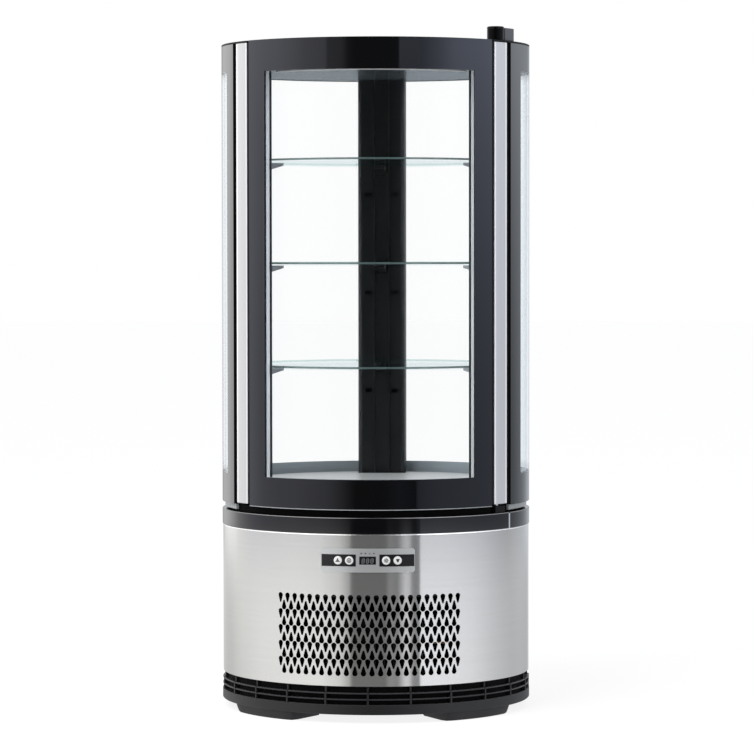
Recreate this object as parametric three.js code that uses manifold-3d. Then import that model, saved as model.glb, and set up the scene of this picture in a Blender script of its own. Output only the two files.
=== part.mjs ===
// Round refrigerated display cabinet with a curved glass door, built from its separate pieces.
// Millimetres, +Z up. The front faces -Y, and the origin is the centre of the footprint.
// Angles round the cabinet are in degrees from the front centre, positive towards +X.

import * as THREE from 'three';
import { mergeGeometries, mergeVertices } from 'three/addons/utils/BufferGeometryUtils.js';
import Module from 'manifold-3d';

const wasm = await Module();
wasm.setup();

// Heights of the sections, stacked from the surface that the cabinet stands on
const foot_height = 13;
const skirt_height = 43;
const casing_height = 229;
const ring_height = 25;
const neck_height = 11;
const glass_height = 708;
const hinge_cap_height = 21;

// Radii, walls and clearances that many pieces share
const cabinet_radius = 240;
const seat_gap = 0.3;
const curve_gap = 0.5;
const overrun = 2;
const casing_inset = 1;
const casing_wall = 1.2;
const pane_thickness = 4;
const pane_cavity = 16;
const neck_inset = 10;
const drum_clearance = 2.3;
const gasket_depth = 12;
const jamb_thickness = 4.7;

// Angles round the cabinet, and how finely round pieces are cut
const rear_deg = 180;
const glass_edge_deg = 50.3;
const trim_start_deg = 51.8;
const trim_end_deg = 59.8;
const panel_start_deg = 62.3;
const sill_end_deg = 61.5;
const rear_joint_deg = 3;
const post_end_deg = 69.3;
const hinge_deg = 56.2;
const facet_deg = 5;
const casing_facet_deg = 6;
const hidden_facets = 36;
const small_facets = 16;

// Feet
const foot = { inner_radius: 158, inset: 2, corner_radius: 12, from_deg: 28.9, to_deg: 63.9 };

// Louvred skirt
const skirt = {
  collar_wall: 4.5, collar_rise: 10, band_height: 15, slot_height: 6.4, slat_height: 2.8,
  top_slat_clearance: 0.9, rib_width: 4, rib_count: 23, facets_per_rib: 2,
};

// Perforation of the front casing: pairs of drop-shaped rows, the lower row of a pair upside down
const drops = {
  head_radius: 3.5, tip_drop: 10.4, pair_count: 5, pair_pitch: 24.1, row_offset: 17.8, top_margin: 95,
  upper_count: 23, pitch_deg: 3.1, head_points: 3, head_sweep_deg: 180,
};

// Black ring over the casing
const ring = {
  width: 14, chamfer: 1.5, ledge_width: 10, ledge_height: 4, joint_deg: 61.4, joint_width: 4, joint_depth: 1.2,
};

// Base tray and the machinery that stands on it
const tray = { edge_gap: 0.8, thickness: 2, rim_height: 10, rim_wall: 1.5 };
const compressor = {
  radius: 66, height: 148, foot_length: 140, foot_width: 112, foot_thickness: 4,
  inset_x: 145, inset_y: 162, suction_port: 104, discharge_port: 52, facets: 24,
  radius_shares: [0.7, 1, 1, 0.86, 0.5], height_shares: [0, 0.16, 0.72, 0.92, 1],
};
const condenser = {
  length: 190, depth: 42, height: 130, front_inset: 70, fin_count: 14, fin_thickness: 1.6, spine: 6,
};
const condenser_fan = {
  plate_width: 150, plate_thickness: 3, hole_share: 0.89, hub_radius: 20, tip_clearance: 4, rotor_depth: 20,
  blade_count: 5, blade_thickness: 2, blade_pitch_deg: 36, motor_radius: 22, motor_depth: 34, arm_width: 8,
  arm_thickness: 4, rotor_gap: 3, stand_off: 0.3,
};
const pipe = {
  suction_radius: 5, discharge_radius: 3.5, sides: 8, steps: 16, suction_x: 40, suction_inset: 122,
  inlet_share: 0.75, side_share: 0.25, bend_share: 0.33, turn_share: 0.83, rise_shares: [0.17, 0.75],
};
const pan = { length_share: 0.588, width: 80, depth: 24, wall: 2, inset_x: 95, inset_y: 130 };

// Insulated tub under the deck, with the cooling coil and its fan
const tub = { edge_gap: 11, wall: 12, floor: 12, depth: 103, flange_height: 3 };
const evaporator = {
  length: 220, depth: 56, height: 62, front_y: 12, fin_count: 16, fin_thickness: 1.6, spine: 6,
};
const evaporator_fan = {
  plate_width: 92, plate_thickness: 3, hole_share: 0.81, hub_radius: 14, tip_clearance: 3, rotor_depth: 14,
  blade_count: 5, blade_thickness: 1.6, blade_pitch_deg: 36, motor_radius: 15, motor_depth: 20, arm_width: 6,
  arm_thickness: 3, rotor_gap: 2, stand_off: 16,
};

// Deck, floor sheet and top
const deck = { drum_height: 28, floor_sheet: 2 };
const top = {
  lip: 2.7, lip_overlap_deg: 1, front_inset: 4.6, panel_height: 41,
  light_depth: 2.5, light_width: 8, light_deg: 48,
};

// Controls on the front casing
const plate = {
  centre_rise: 190, width_deg: 34.2, height: 36, thickness: 0.8, window_deg: 30.4, window_height: 26,
  display_deg: 5.7, display_height: 11.6, display_stand: 0.2,
};
const button = {
  radius: 6.3, stand: 1.1, clearance: 0.3, back_depth: 6.5, angles_deg: [-10.8, -6.65, 6.65, 10.8],
};
const board = { half_width: 56, height: 22, thickness: 1.6 };
const housing = { half_width: 64, height: 34, wall: 1.6, depth: 16.8 };

// Cord gland in the rear casing
const gland = {
  centre_rise: 36, bore_radius: 4, body_radius: 8, flange_radius: 12, flange_thickness: 1, nut_depth: 8,
};

// Air duct, shelf rail, shelves and their arms
const duct = {
  half_width: 38, depth: 37.7, corner_radius: 8, corner_steps: 3, wall: 2,
  hole_x: 21, hole_width: 12, hole_height: 8, hole_drop: 45,
};
const rail = { width: 25, depth: 8, wall: 2 };
const shelf = {
  thickness: 5, first_rise: 180.2, pitch: 158, count: 3, edge_clearance: 1, notch_clearance: 2,
};
const arm = {
  reach: 45, root_height: 12, tip_height: 4, width: 10, rear_width: 16, centre_deg: 66, embed: 2,
  belly_share: 0.55,
};

// Door, hinge and glazing
const door = {
  base_gap: 3, frame_inset_deg: 4.2, frame_rail: 14, gasket_deg: 3, gasket_rail: 8, gasket_inset: 3,
};
const hinge = {
  pin_radius: 4, pin_clearance: 0.3, pin_engage: 18,
  cap_radius: 13, cap_end_deg: 66.4, cap_inset: 3, cap_step: 1.5, cap_roof: 6,
};
const bracket = {
  from_deg: 53.1, to_deg: 59.3, width: 17.5, outer_inset: 2.4, floor: 3, notch_deg: 0.6, notch_clearance: 0.6,
};

// Levels worked out from the section heights
const skirt_base = foot_height + seat_gap;
const skirt_top = foot_height + skirt_height;
const casing_base = skirt_top + seat_gap;
const casing_top = skirt_top + casing_height;
const ring_base = casing_top + seat_gap;
const ring_top = casing_top + ring_height;
const neck_base = ring_top + seat_gap;
const neck_top = ring_top + neck_height;
const glass_top = neck_top + glass_height;
const lip_base = glass_top - top.lip;
const panel_top = lip_base - seat_gap;
const ceiling_base = panel_top - top.panel_height;
const deck_top = neck_top + deck.drum_height;
const floor_base = deck_top + seat_gap;
const floor_top = floor_base + deck.floor_sheet;
const flange_base = ring_base + ring.ledge_height + seat_gap;
const flange_top = flange_base + tub.flange_height;
const tub_floor = flange_base - tub.depth + tub.floor;
const cap_base = glass_top + seat_gap;
const cap_top = glass_top + hinge_cap_height;

// Radii worked out from the walls and clearances
const casing_radius = cabinet_radius - casing_inset;
const casing_inner = casing_radius - casing_wall;
const ring_inner = cabinet_radius - ring.width;
const outer_pane_inner = cabinet_radius - pane_thickness;
const inner_pane_outer = outer_pane_inner - pane_cavity;
const inner_pane_inner = inner_pane_outer - pane_thickness;
const neck_radius = cabinet_radius - neck_inset;
const drum_radius = inner_pane_inner - drum_clearance;
const sill_radius = inner_pane_inner - gasket_depth - seat_gap;
const post_outer = inner_pane_inner - seat_gap;
const jamb_inner = sill_radius - jamb_thickness;
const pivot_radius = (cabinet_radius + inner_pane_inner) / 2;
const door_base = neck_top + door.base_gap;
const tub_outer = ring_inner - ring.ledge_width - tub.edge_gap;
const tub_inner = tub_outer - tub.wall;
const duct_back = post_outer;
const duct_front_y = duct_back - duct.depth;
const rail_back_y = duct_front_y - seat_gap;
const rail_front_y = rail_back_y - rail.depth;
const housing_back_y = housing.depth - casing_inner;
const board_front_y = housing_back_y - housing.wall - seat_gap - board.thickness;

// Places of the machinery, measured in from the cabinet's side
const compressor_x = compressor.inset_x - cabinet_radius;
const compressor_y = cabinet_radius - compressor.inset_y;
const condenser_front_y = condenser.front_inset - cabinet_radius;
const condenser_back_y = condenser_front_y + condenser.depth;
const pan_far_x = cabinet_radius - pan.inset_x;
const pan_room = pan_far_x - compressor_x - compressor.foot_length / 2;
const pan_near_x = pan_far_x - pan_room * pan.length_share;
const pan_y = cabinet_radius - pan.inset_y;
const suction_y = cabinet_radius - pipe.suction_inset;

// Angles of the edges that meet the door profiles and the rear joint
const seal_edge_deg = trim_start_deg - arcDegrees(seat_gap, inner_pane_inner);
const panel_end_deg = rear_deg - rear_joint_deg / 2 - arcDegrees(seat_gap, inner_pane_inner);

// Finishes, as plain colours
const finishes = {
  black_plastic: { color: 0x37373a, roughness: 0.5, metalness: 0 },
  dark_plastic: { color: 0x1c1d20, roughness: 0.35, metalness: 0 },
  rubber: { color: 0x1a1a1b, roughness: 0.8, metalness: 0 },
  steel: { color: 0xc9c9c6, roughness: 0.32, metalness: 1 },
  galvanised: { color: 0x9a9da0, roughness: 0.55, metalness: 1 },
  aluminium: { color: 0xd2d3d8, roughness: 0.28, metalness: 1 },
  copper: { color: 0xb06a44, roughness: 0.35, metalness: 1 },
  compressor_black: { color: 0x141415, roughness: 0.4, metalness: 0.2 },
  white: { color: 0xeeeeec, roughness: 0.4, metalness: 0 },
  foam_white: { color: 0xdadbd8, roughness: 0.7, metalness: 0 },
  silver: { color: 0xbfc4c8, roughness: 0.4, metalness: 0.6 },
  board_green: { color: 0x1f5a3a, roughness: 0.6, metalness: 0 },
  display: { color: 0x101114, roughness: 0.15, metalness: 0 },
  button_white: { color: 0xf5f5f2, roughness: 0.3, metalness: 0 },
  light: { color: 0xf7f8f4, roughness: 0.4, metalness: 0 },
  glass: { color: 0xe6f1f0, roughness: 0.05, metalness: 0, transparent: true, opacity: 0.35 },
};

const cabinet = new THREE.Group();

function addPart(name, geometry, finish) {
  const mesh = new THREE.Mesh(geometry, new THREE.MeshStandardMaterial(finishes[finish]));
  mesh.name = name;
  cabinet.add(mesh);
  return mesh;
}

// A point at a radius and an angle from the front centre
function polar(radius, deg) {
  const angle = THREE.MathUtils.degToRad(deg);
  return new THREE.Vector2(radius * Math.sin(angle), -radius * Math.cos(angle));
}

function arcPoints(radius, from_deg, to_deg, step_deg = facet_deg) {
  const steps = Math.max(1, Math.ceil(Math.abs(to_deg - from_deg) / step_deg));
  const points = [];
  for (let i = 0; i <= steps; i++) {
    points.push(polar(radius, from_deg + (to_deg - from_deg) * i / steps));
  }
  return points;
}

// Width along an arc, as an angle
function arcDegrees(width, radius) {
  return THREE.MathUtils.radToDeg(width / radius);
}

function prism(points, from_z, to_z, holes = []) {
  const shape = new THREE.Shape(points);
  shape.holes = holes.map((hole) => new THREE.Path(hole));
  const geometry = new THREE.ExtrudeGeometry(shape, { depth: to_z - from_z, bevelEnabled: false });
  return geometry.translate(0, 0, from_z);
}

// A curved wall between two radii and two angles
function sector(inner, outer, from_deg, to_deg, from_z, to_z, step_deg = facet_deg) {
  const outline = arcPoints(outer, from_deg, to_deg, step_deg);
  outline.push(...arcPoints(inner, to_deg, from_deg, step_deg));
  return prism(outline, from_z, to_z);
}

// A full turn of a closed profile of [radius, height] pairs
function turned(profile, segments = 360 / facet_deg) {
  const points = [...profile, profile[0]].map(([radius, height]) => new THREE.Vector2(radius, height));
  return new THREE.LatheGeometry(points, segments).rotateX(Math.PI / 2);
}

function drum(radius, from_z, to_z, segments = 360 / facet_deg) {
  const geometry = new THREE.CylinderGeometry(radius, radius, to_z - from_z, segments).rotateX(Math.PI / 2);
  return geometry.translate(0, 0, (from_z + to_z) / 2);
}

function block(from, to) {
  const size = to.map((value, axis) => value - from[axis]);
  const centre = to.map((value, axis) => (value + from[axis]) / 2);
  return new THREE.BoxGeometry(...size).translate(...centre);
}

function circlePoints(radius, x = 0, y = 0, sides = small_facets) {
  const points = [];
  for (let i = 0; i < sides; i++) {
    const angle = 2 * Math.PI * i / sides;
    points.push(new THREE.Vector2(x + radius * Math.cos(angle), y + radius * Math.sin(angle)));
  }
  return points;
}

// Booleans
function toSolid(geometry) {
  const bare = geometry.clone();
  bare.deleteAttribute('normal');
  bare.deleteAttribute('uv');
  const merged = mergeVertices(bare);
  const triangles = [];
  for (let i = 0; i < merged.index.count; i += 3) {
    const [a, b, c] = [0, 1, 2].map((k) => merged.index.getX(i + k));
    if (a !== b && b !== c && c !== a) {
      triangles.push(a, b, c);
    }
  }
  const mesh = new wasm.Mesh({
    numProp: 3,
    vertProperties: Float32Array.from(merged.attributes.position.array),
    triVerts: Uint32Array.from(triangles),
  });
  return new wasm.Manifold(mesh);
}

function toGeometry(solid) {
  const mesh = solid.getMesh();
  const geometry = new THREE.BufferGeometry();
  geometry.setAttribute('position', new THREE.BufferAttribute(Float32Array.from(mesh.vertProperties), 3));
  geometry.setIndex(new THREE.BufferAttribute(Uint32Array.from(mesh.triVerts), 1));
  geometry.computeVertexNormals();
  return geometry;
}

function cut(geometry, ...cutters) {
  let solid = toSolid(geometry);
  for (const cutter of cutters) {
    solid = solid.subtract(toSolid(cutter));
  }
  return toGeometry(solid);
}

function join(geometry, ...others) {
  let solid = toSolid(geometry);
  for (const other of others) {
    solid = solid.add(toSolid(other));
  }
  return toGeometry(solid);
}

function keepInside(geometry, envelope) {
  return toGeometry(toSolid(geometry).intersect(toSolid(envelope)));
}

// Feet: four moulded pads under the rim of the skirt, the rear pair mirrored from the front pair
function footOutline(from_deg, to_deg) {
  const outer = cabinet_radius - foot.inset;
  const side = Math.sign(to_deg - from_deg);
  const round_deg = side * arcDegrees(foot.corner_radius, outer);
  const outline = arcPoints(outer, from_deg + round_deg, to_deg - round_deg);
  outline.push(polar(outer - foot.corner_radius, to_deg));
  outline.push(...arcPoints(foot.inner_radius, to_deg, from_deg));
  outline.push(polar(outer - foot.corner_radius, from_deg));
  return outline;
}

function makeFeet() {
  for (const [label, side] of [['left', -1], ['right', 1]]) {
    const front = footOutline(side * foot.from_deg, side * foot.to_deg);
    const rear = footOutline(side * (rear_deg - foot.from_deg), side * (rear_deg - foot.to_deg));
    addPart(`foot_front_${label}`, prism(front, 0, foot_height), 'rubber');
    addPart(`foot_rear_${label}`, prism(rear, 0, foot_height), 'rubber');
  }
}

// Skirt: a moulded ring with rows of air slots between its ribs, and a collar inside the casing
const collar_outer = casing_inner - curve_gap;
const collar_inner = collar_outer - skirt.collar_wall;

function makeSkirt() {
  const rows_base = skirt_base - seat_gap + skirt.band_height;
  const row_pitch = skirt.slot_height + skirt.slat_height;
  const step_height = rows_base + 2 * row_pitch;
  const body = turned([
    [collar_inner, skirt_base],
    [cabinet_radius, skirt_base],
    [cabinet_radius, step_height],
    [collar_outer, step_height],
    [collar_outer, skirt_top + skirt.collar_rise],
    [collar_inner, skirt_top + skirt.collar_rise],
  ], skirt.rib_count * skirt.facets_per_rib);
  const pitch_deg = 360 / skirt.rib_count;
  const half_rib_deg = arcDegrees(skirt.rib_width, cabinet_radius) / 2;
  const rows = [
    [rows_base, rows_base + skirt.slot_height],
    [rows_base + row_pitch, rows_base + row_pitch + skirt.slot_height],
    [step_height, skirt_top - skirt.top_slat_clearance],
  ];
  const cutters = [];
  for (let rib = 0; rib < skirt.rib_count; rib++) {
    const from_deg = rib * pitch_deg + half_rib_deg;
    const to_deg = (rib + 1) * pitch_deg - half_rib_deg;
    for (const [low, high] of rows) {
      cutters.push(sector(collar_inner - overrun, cabinet_radius + overrun, from_deg, to_deg, low, high));
    }
  }
  addPart('louvre_skirt', cut(body, mergeGeometries(cutters)), 'black_plastic');
}

// Casing: a rolled steel sheet in two halves, the front one with its perforation and control window
function dropOutline(upright) {
  const points = [];
  const start = (rear_deg - drops.head_sweep_deg) / 2;
  for (let i = 0; i < drops.head_points; i++) {
    const angle = THREE.MathUtils.degToRad(start + drops.head_sweep_deg * i / (drops.head_points - 1));
    const rise = upright * drops.head_radius * Math.sin(angle);
    points.push(new THREE.Vector2(drops.head_radius * Math.cos(angle), rise));
  }
  points.push(new THREE.Vector2(0, -upright * drops.tip_drop));
  return points;
}

// Stands a cutter on the wall: its outline across the wall, its depth along the radius
function onWall(geometry, deg, height) {
  const angle = THREE.MathUtils.degToRad(deg);
  const across = new THREE.Vector3(Math.cos(angle), Math.sin(angle), 0);
  const outward = new THREE.Vector3(Math.sin(angle), -Math.cos(angle), 0);
  const stand = new THREE.Matrix4().makeBasis(across, new THREE.Vector3(0, 0, 1), outward);
  return geometry.applyMatrix4(stand).translate(0, 0, height);
}

function dropCutters() {
  const cutters = [];
  const first_row = casing_top - drops.top_margin;
  for (let pair = 0; pair < drops.pair_count; pair++) {
    for (const upright of [1, -1]) {
      const count = upright > 0 ? drops.upper_count : drops.upper_count - 1;
      const height = first_row - pair * drops.pair_pitch - (upright > 0 ? 0 : drops.row_offset);
      for (let i = 0; i < count; i++) {
        const deg = (i - (count - 1) / 2) * drops.pitch_deg;
        const punch = prism(dropOutline(upright), casing_inner - overrun, casing_radius + overrun);
        cutters.push(onWall(punch, deg, height));
      }
    }
  }
  return mergeGeometries(cutters);
}

const plate_centre = casing_base - seat_gap + plate.centre_rise;
const gland_height = casing_base - seat_gap + gland.centre_rise;

function makeCasing() {
  const joint_deg = arcDegrees(seat_gap, casing_radius) / 2;
  const edge_deg = rear_deg / 2 - joint_deg;
  const front = sector(casing_inner, casing_radius, -edge_deg, edge_deg, casing_base, casing_top,
    casing_facet_deg);
  const window_low = plate_centre - plate.window_height / 2;
  const window_high = plate_centre + plate.window_height / 2;
  const half_window = plate.window_deg / 2;
  const window = sector(casing_inner - overrun, casing_radius + overrun, -half_window, half_window,
    window_low, window_high);
  addPart('casing_front', cut(front, dropCutters(), window), 'steel');

  const rear = sector(casing_inner, casing_radius, rear_deg - edge_deg, rear_deg + edge_deg, casing_base,
    casing_top, casing_facet_deg);
  const hole = prism(circlePoints(gland.body_radius + seat_gap), casing_inner - overrun,
    casing_radius + overrun);
  addPart('casing_rear', cut(rear, onWall(hole, rear_deg, gland_height)), 'steel');
}

// Ring over the casing, with a ledge that carries the tub and a strip that closes its joint
function makeRing() {
  const body = turned([
    [ring_inner - ring.ledge_width, ring_base],
    [cabinet_radius, ring_base],
    [cabinet_radius, ring_top - ring.chamfer],
    [cabinet_radius - ring.chamfer, ring_top],
    [ring_inner, ring_top],
    [ring_inner, ring_base + ring.ledge_height],
    [ring_inner - ring.ledge_width, ring_base + ring.ledge_height],
  ]);
  const groove_floor = cabinet_radius - ring.joint_depth;
  const half_strip = arcDegrees(ring.joint_width, cabinet_radius) / 2;
  const half_groove = arcDegrees(ring.joint_width + 2 * seat_gap, cabinet_radius) / 2;
  const groove = sector(groove_floor, cabinet_radius + overrun, ring.joint_deg - half_groove,
    ring.joint_deg + half_groove, ring_base - overrun, ring_top + overrun);
  addPart('trim_ring', cut(body, groove), 'dark_plastic');
  addPart('ring_joint_strip', sector(groove_floor + seat_gap, cabinet_radius, ring.joint_deg - half_strip,
    ring.joint_deg + half_strip, ring_base, ring_top - ring.chamfer), 'aluminium');
}

// Base tray and the machinery that stands on it
const tray_radius = collar_inner - tray.edge_gap;
const tray_top = skirt_base + tray.thickness;
const machine_base = tray_top + seat_gap;

function makeTray() {
  const inside = tray_radius - tray.rim_wall;
  addPart('base_tray', cut(
    drum(tray_radius, skirt_base, skirt_base + tray.rim_height, hidden_facets),
    drum(inside, tray_top, skirt_base + tray.rim_height + overrun, hidden_facets),
  ), 'galvanised');
}

function makeCompressor() {
  const r = compressor.radius;
  const [x, y] = [compressor_x, compressor_y];
  const shell_base = machine_base + compressor.foot_thickness / 2;
  const shell_top = machine_base + compressor.height;
  const span = shell_top - shell_base;
  const profile = compressor.radius_shares.map((share, i) => (
    [r * share, shell_base + span * compressor.height_shares[i]]
  ));
  const shell = turned([[0, shell_base], ...profile, [0, shell_top]], compressor.facets).translate(x, y, 0);
  const foot_plate = block(
    [x - compressor.foot_length / 2, y - compressor.foot_width / 2, machine_base],
    [x + compressor.foot_length / 2, y + compressor.foot_width / 2, machine_base + compressor.foot_thickness],
  );
  addPart('compressor', join(shell, foot_plate), 'compressor_black');
}

// A coil block as a comb of fins on a spine, its length along X
function finBlock(coil, back_y, base_z) {
  const half = coil.length / 2;
  const front_y = back_y - coil.depth;
  const spine_y = back_y - coil.spine;
  const pitch = (coil.length - coil.fin_thickness) / (coil.fin_count - 1);
  const outline = [new THREE.Vector2(half, back_y), new THREE.Vector2(-half, back_y)];
  for (let i = 0; i < coil.fin_count; i++) {
    const x = -half + i * pitch;
    outline.push(new THREE.Vector2(x, i ? spine_y : front_y), new THREE.Vector2(x, front_y));
    outline.push(new THREE.Vector2(x + coil.fin_thickness, front_y));
    outline.push(new THREE.Vector2(x + coil.fin_thickness, i < coil.fin_count - 1 ? spine_y : front_y));
  }
  const points = outline.filter((point, i) => !i || !point.equals(outline[i - 1]));
  return prism(points, base_z, base_z + coil.height);
}

// Fan pieces, built with the axis along local +Z, which points to the cabinet's front
function fanRotor(fan, tip_radius) {
  const pieces = [];
  const blade_length = tip_radius - fan.hub_radius / 2;
  for (let i = 0; i < fan.blade_count; i++) {
    const blade = new THREE.BoxGeometry(blade_length, fan.blade_thickness, fan.rotor_depth);
    blade.rotateX(THREE.MathUtils.degToRad(fan.blade_pitch_deg));
    blade.translate((fan.hub_radius + blade_length) / 2, 0, 0);
    pieces.push(blade.rotateZ(2 * Math.PI * i / fan.blade_count));
  }
  return join(drum(fan.hub_radius, -fan.rotor_depth / 2, fan.rotor_depth / 2, small_facets), ...pieces);
}

function fanFrame(fan, half_height, hole_radius, tip_radius) {
  const half = fan.plate_width / 2;
  const corners = [[-half, -half_height], [half, -half_height], [half, half_height], [-half, half_height]];
  const outline = corners.map(([x, y]) => new THREE.Vector2(x, y));
  const plate_back = fan.rotor_depth / 2 + fan.rotor_gap;
  const hole = circlePoints(hole_radius, 0, 0, 2 * small_facets);
  const frame = prism(outline, plate_back, plate_back + fan.plate_thickness, [hole]);
  const motor_front = -fan.rotor_depth / 2 - seat_gap;
  const arm_back = motor_front - fan.motor_depth / 2;
  const arm_front = arm_back + fan.arm_thickness;
  const leg_inner = (hole_radius + tip_radius + fan.arm_width) / 2;
  const leg_outer = leg_inner + fan.arm_thickness;
  const half_arm = fan.arm_width / 2;
  const parts = [drum(fan.motor_radius, motor_front - fan.motor_depth, motor_front, small_facets)];
  for (const side of [-1, 1]) {
    const reach = [side * leg_inner, side * leg_outer].sort((a, b) => a - b);
    const span = [0, side * leg_outer].sort((a, b) => a - b);
    parts.push(block([span[0], -half_arm, arm_back], [span[1], half_arm, arm_front]));
    parts.push(block([reach[0], -half_arm, arm_back],
      [reach[1], half_arm, plate_back + fan.plate_thickness]));
  }
  return join(frame, ...parts);
}

function placeFan(mesh, y, z) {
  mesh.rotation.x = Math.PI / 2;
  mesh.position.set(0, y, z);
}

// A fan's frame and rotor behind a coil: its plate stands on base_z and is twice half_height tall
function addFan(label, fan, half_height, coil_back_y, base_z) {
  const y = coil_back_y + fan.stand_off + fan.plate_thickness + fan.rotor_gap + fan.rotor_depth / 2;
  const hole_radius = fan.hole_share * Math.min(half_height, fan.plate_width / 2);
  const tip_radius = hole_radius - fan.tip_clearance;
  placeFan(addPart(`${label}_frame`, fanFrame(fan, half_height, hole_radius, tip_radius), 'galvanised'), y,
    base_z + half_height);
  placeFan(addPart(`${label}_rotor`, fanRotor(fan, tip_radius), 'dark_plastic'), y, base_z + half_height);
}

function makeCondenser() {
  addPart('condenser_coil', finBlock(condenser, condenser_back_y, machine_base), 'compressor_black');
  addFan('condenser_fan', condenser_fan, condenser.height / 2, condenser_back_y, machine_base);
}

function tube(points, radius) {
  const route = new THREE.CatmullRomCurve3(points.map((point) => new THREE.Vector3(...point)));
  const section = new THREE.Shape(circlePoints(radius, 0, 0, pipe.sides));
  return new THREE.ExtrudeGeometry(section, { steps: pipe.steps, extrudePath: route, bevelEnabled: false });
}

function makePipes() {
  const port_x = compressor_x + compressor.radius + 2 * seat_gap;
  const y = compressor_y;
  const low = machine_base + compressor.discharge_port;
  const high = machine_base + compressor.suction_port;
  const coil_end = condenser.length / 2 + seat_gap;
  const coil_y = condenser_back_y - condenser.depth / 2;
  const coil_z = machine_base + condenser.height * pipe.inlet_share;
  const far_x = coil_end + condenser.depth;
  const near_x = coil_end + condenser.depth / 2;
  addPart('discharge_pipe', tube([
    [port_x, y, low],
    [port_x + pipe.suction_x, y, low],
    [near_x, y * pipe.side_share, low],
    [far_x, coil_y * pipe.bend_share, (low + coil_z) / 2],
    [far_x, coil_y * pipe.turn_share, coil_z],
    [near_x, coil_y, coil_z],
    [coil_end, coil_y, coil_z],
  ], pipe.discharge_radius), 'copper');
  const outlet_z = flange_base - tub.depth - 2 * seat_gap;
  const [low_rise, high_rise] = pipe.rise_shares.map((share) => high + (outlet_z - high) * share);
  addPart('suction_pipe', tube([
    [pipe.suction_x, suction_y, outlet_z],
    [pipe.suction_x, suction_y, high_rise],
    [(pipe.suction_x + port_x) / 2 + pipe.suction_radius, (suction_y + y) / 2, low_rise],
    [port_x + 3 * pipe.suction_radius, y, high],
    [port_x, y, high],
  ], pipe.suction_radius), 'copper');
}

function makeDrainPan() {
  const { depth, wall } = pan;
  const near_y = pan_y - pan.width / 2;
  const far_y = pan_y + pan.width / 2;
  const outside = block(
    [pan_near_x, near_y, machine_base],
    [pan_far_x, far_y, machine_base + depth],
  );
  const inside = block(
    [pan_near_x + wall, near_y + wall, machine_base + wall],
    [pan_far_x - wall, far_y - wall, machine_base + depth + overrun],
  );
  addPart('drain_pan', cut(outside, inside), 'dark_plastic');
}

// Insulated tub, hung on the ring's ledge, with the cooling coil and the fan that feeds the duct
function makeTub() {
  const rim = ring_inner - seat_gap;
  const low = flange_base - tub.depth;
  const shell = cut(
    drum(tub_outer, low, flange_top, hidden_facets),
    drum(tub_inner, tub_floor, flange_top + overrun, hidden_facets),
  );
  const flange = turned([
    [tub_outer - tub.wall / 2, flange_base],
    [rim, flange_base],
    [rim, flange_top],
    [tub_outer - tub.wall / 2, flange_top],
  ], hidden_facets);
  addPart('evaporator_tub', join(shell, flange), 'foam_white');
}

function makeEvaporator() {
  const base = tub_floor + seat_gap;
  const back_y = evaporator.front_y + evaporator.depth;
  addPart('evaporator_coil', finBlock(evaporator, back_y, base), 'aluminium');
  addFan('evaporator_fan', evaporator_fan, (flange_top - base) / 2, back_y, base);
}

// Deck that closes the tub, cut back behind the door, with an air slot under the duct
function behindDoor(from_z, to_z) {
  return sector(sill_radius, cabinet_radius + overrun, -sill_end_deg, sill_end_deg, from_z, to_z);
}

function makeDeck() {
  const low = flange_top + seat_gap;
  const body = turned([
    [0, low],
    [ring_inner - seat_gap, low],
    [ring_inner - seat_gap, neck_base],
    [neck_radius, neck_base],
    [neck_radius, neck_top],
    [drum_radius, neck_top],
    [drum_radius, deck_top],
    [0, deck_top],
  ]);
  const slot_half = duct.half_width - duct.corner_radius;
  const slot = block([-slot_half, duct_front_y + duct.wall, low - overrun],
    [slot_half, tub_inner, deck_top + overrun]);
  const bracket_inner = cabinet_radius - bracket.outer_inset - bracket.width - bracket.notch_clearance;
  const notch = sector(bracket_inner, cabinet_radius, bracket.from_deg - bracket.notch_deg,
    bracket.to_deg + bracket.notch_deg, neck_base - seat_gap, neck_top + overrun);
  addPart('insulated_deck', cut(body, slot, behindDoor(neck_top, deck_top + overrun), notch), 'dark_plastic');

  const sheet = drum(drum_radius, floor_base, floor_top);
  const notch_half = duct.half_width + seat_gap;
  const duct_notch = block([-notch_half, rail_front_y - seat_gap, floor_base - overrun],
    [notch_half, cabinet_radius, floor_top + overrun]);
  const door_notch = behindDoor(floor_base - overrun, floor_top + overrun);
  addPart('floor_panel', cut(sheet, duct_notch, door_notch), 'white');
}

// Air duct at the back: a hollow column with air holes under each shelf
function ductOutline(half_width, front_y, back_radius, corner) {
  const back_deg = THREE.MathUtils.radToDeg(Math.asin(half_width / back_radius));
  const points = arcPoints(back_radius, rear_deg - back_deg, rear_deg + back_deg);
  for (const side of [-1, 1]) {
    for (let i = 0; i <= duct.corner_steps; i++) {
      const step = side < 0 ? i : duct.corner_steps - i;
      const turn = Math.PI / 2 * step / duct.corner_steps;
      const x = side * (half_width - corner + corner * Math.cos(turn));
      points.push(new THREE.Vector2(x, front_y + corner - corner * Math.sin(turn)));
    }
  }
  return points;
}

function shelfBase(index) {
  return floor_base + shelf.first_rise + index * shelf.pitch;
}

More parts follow.
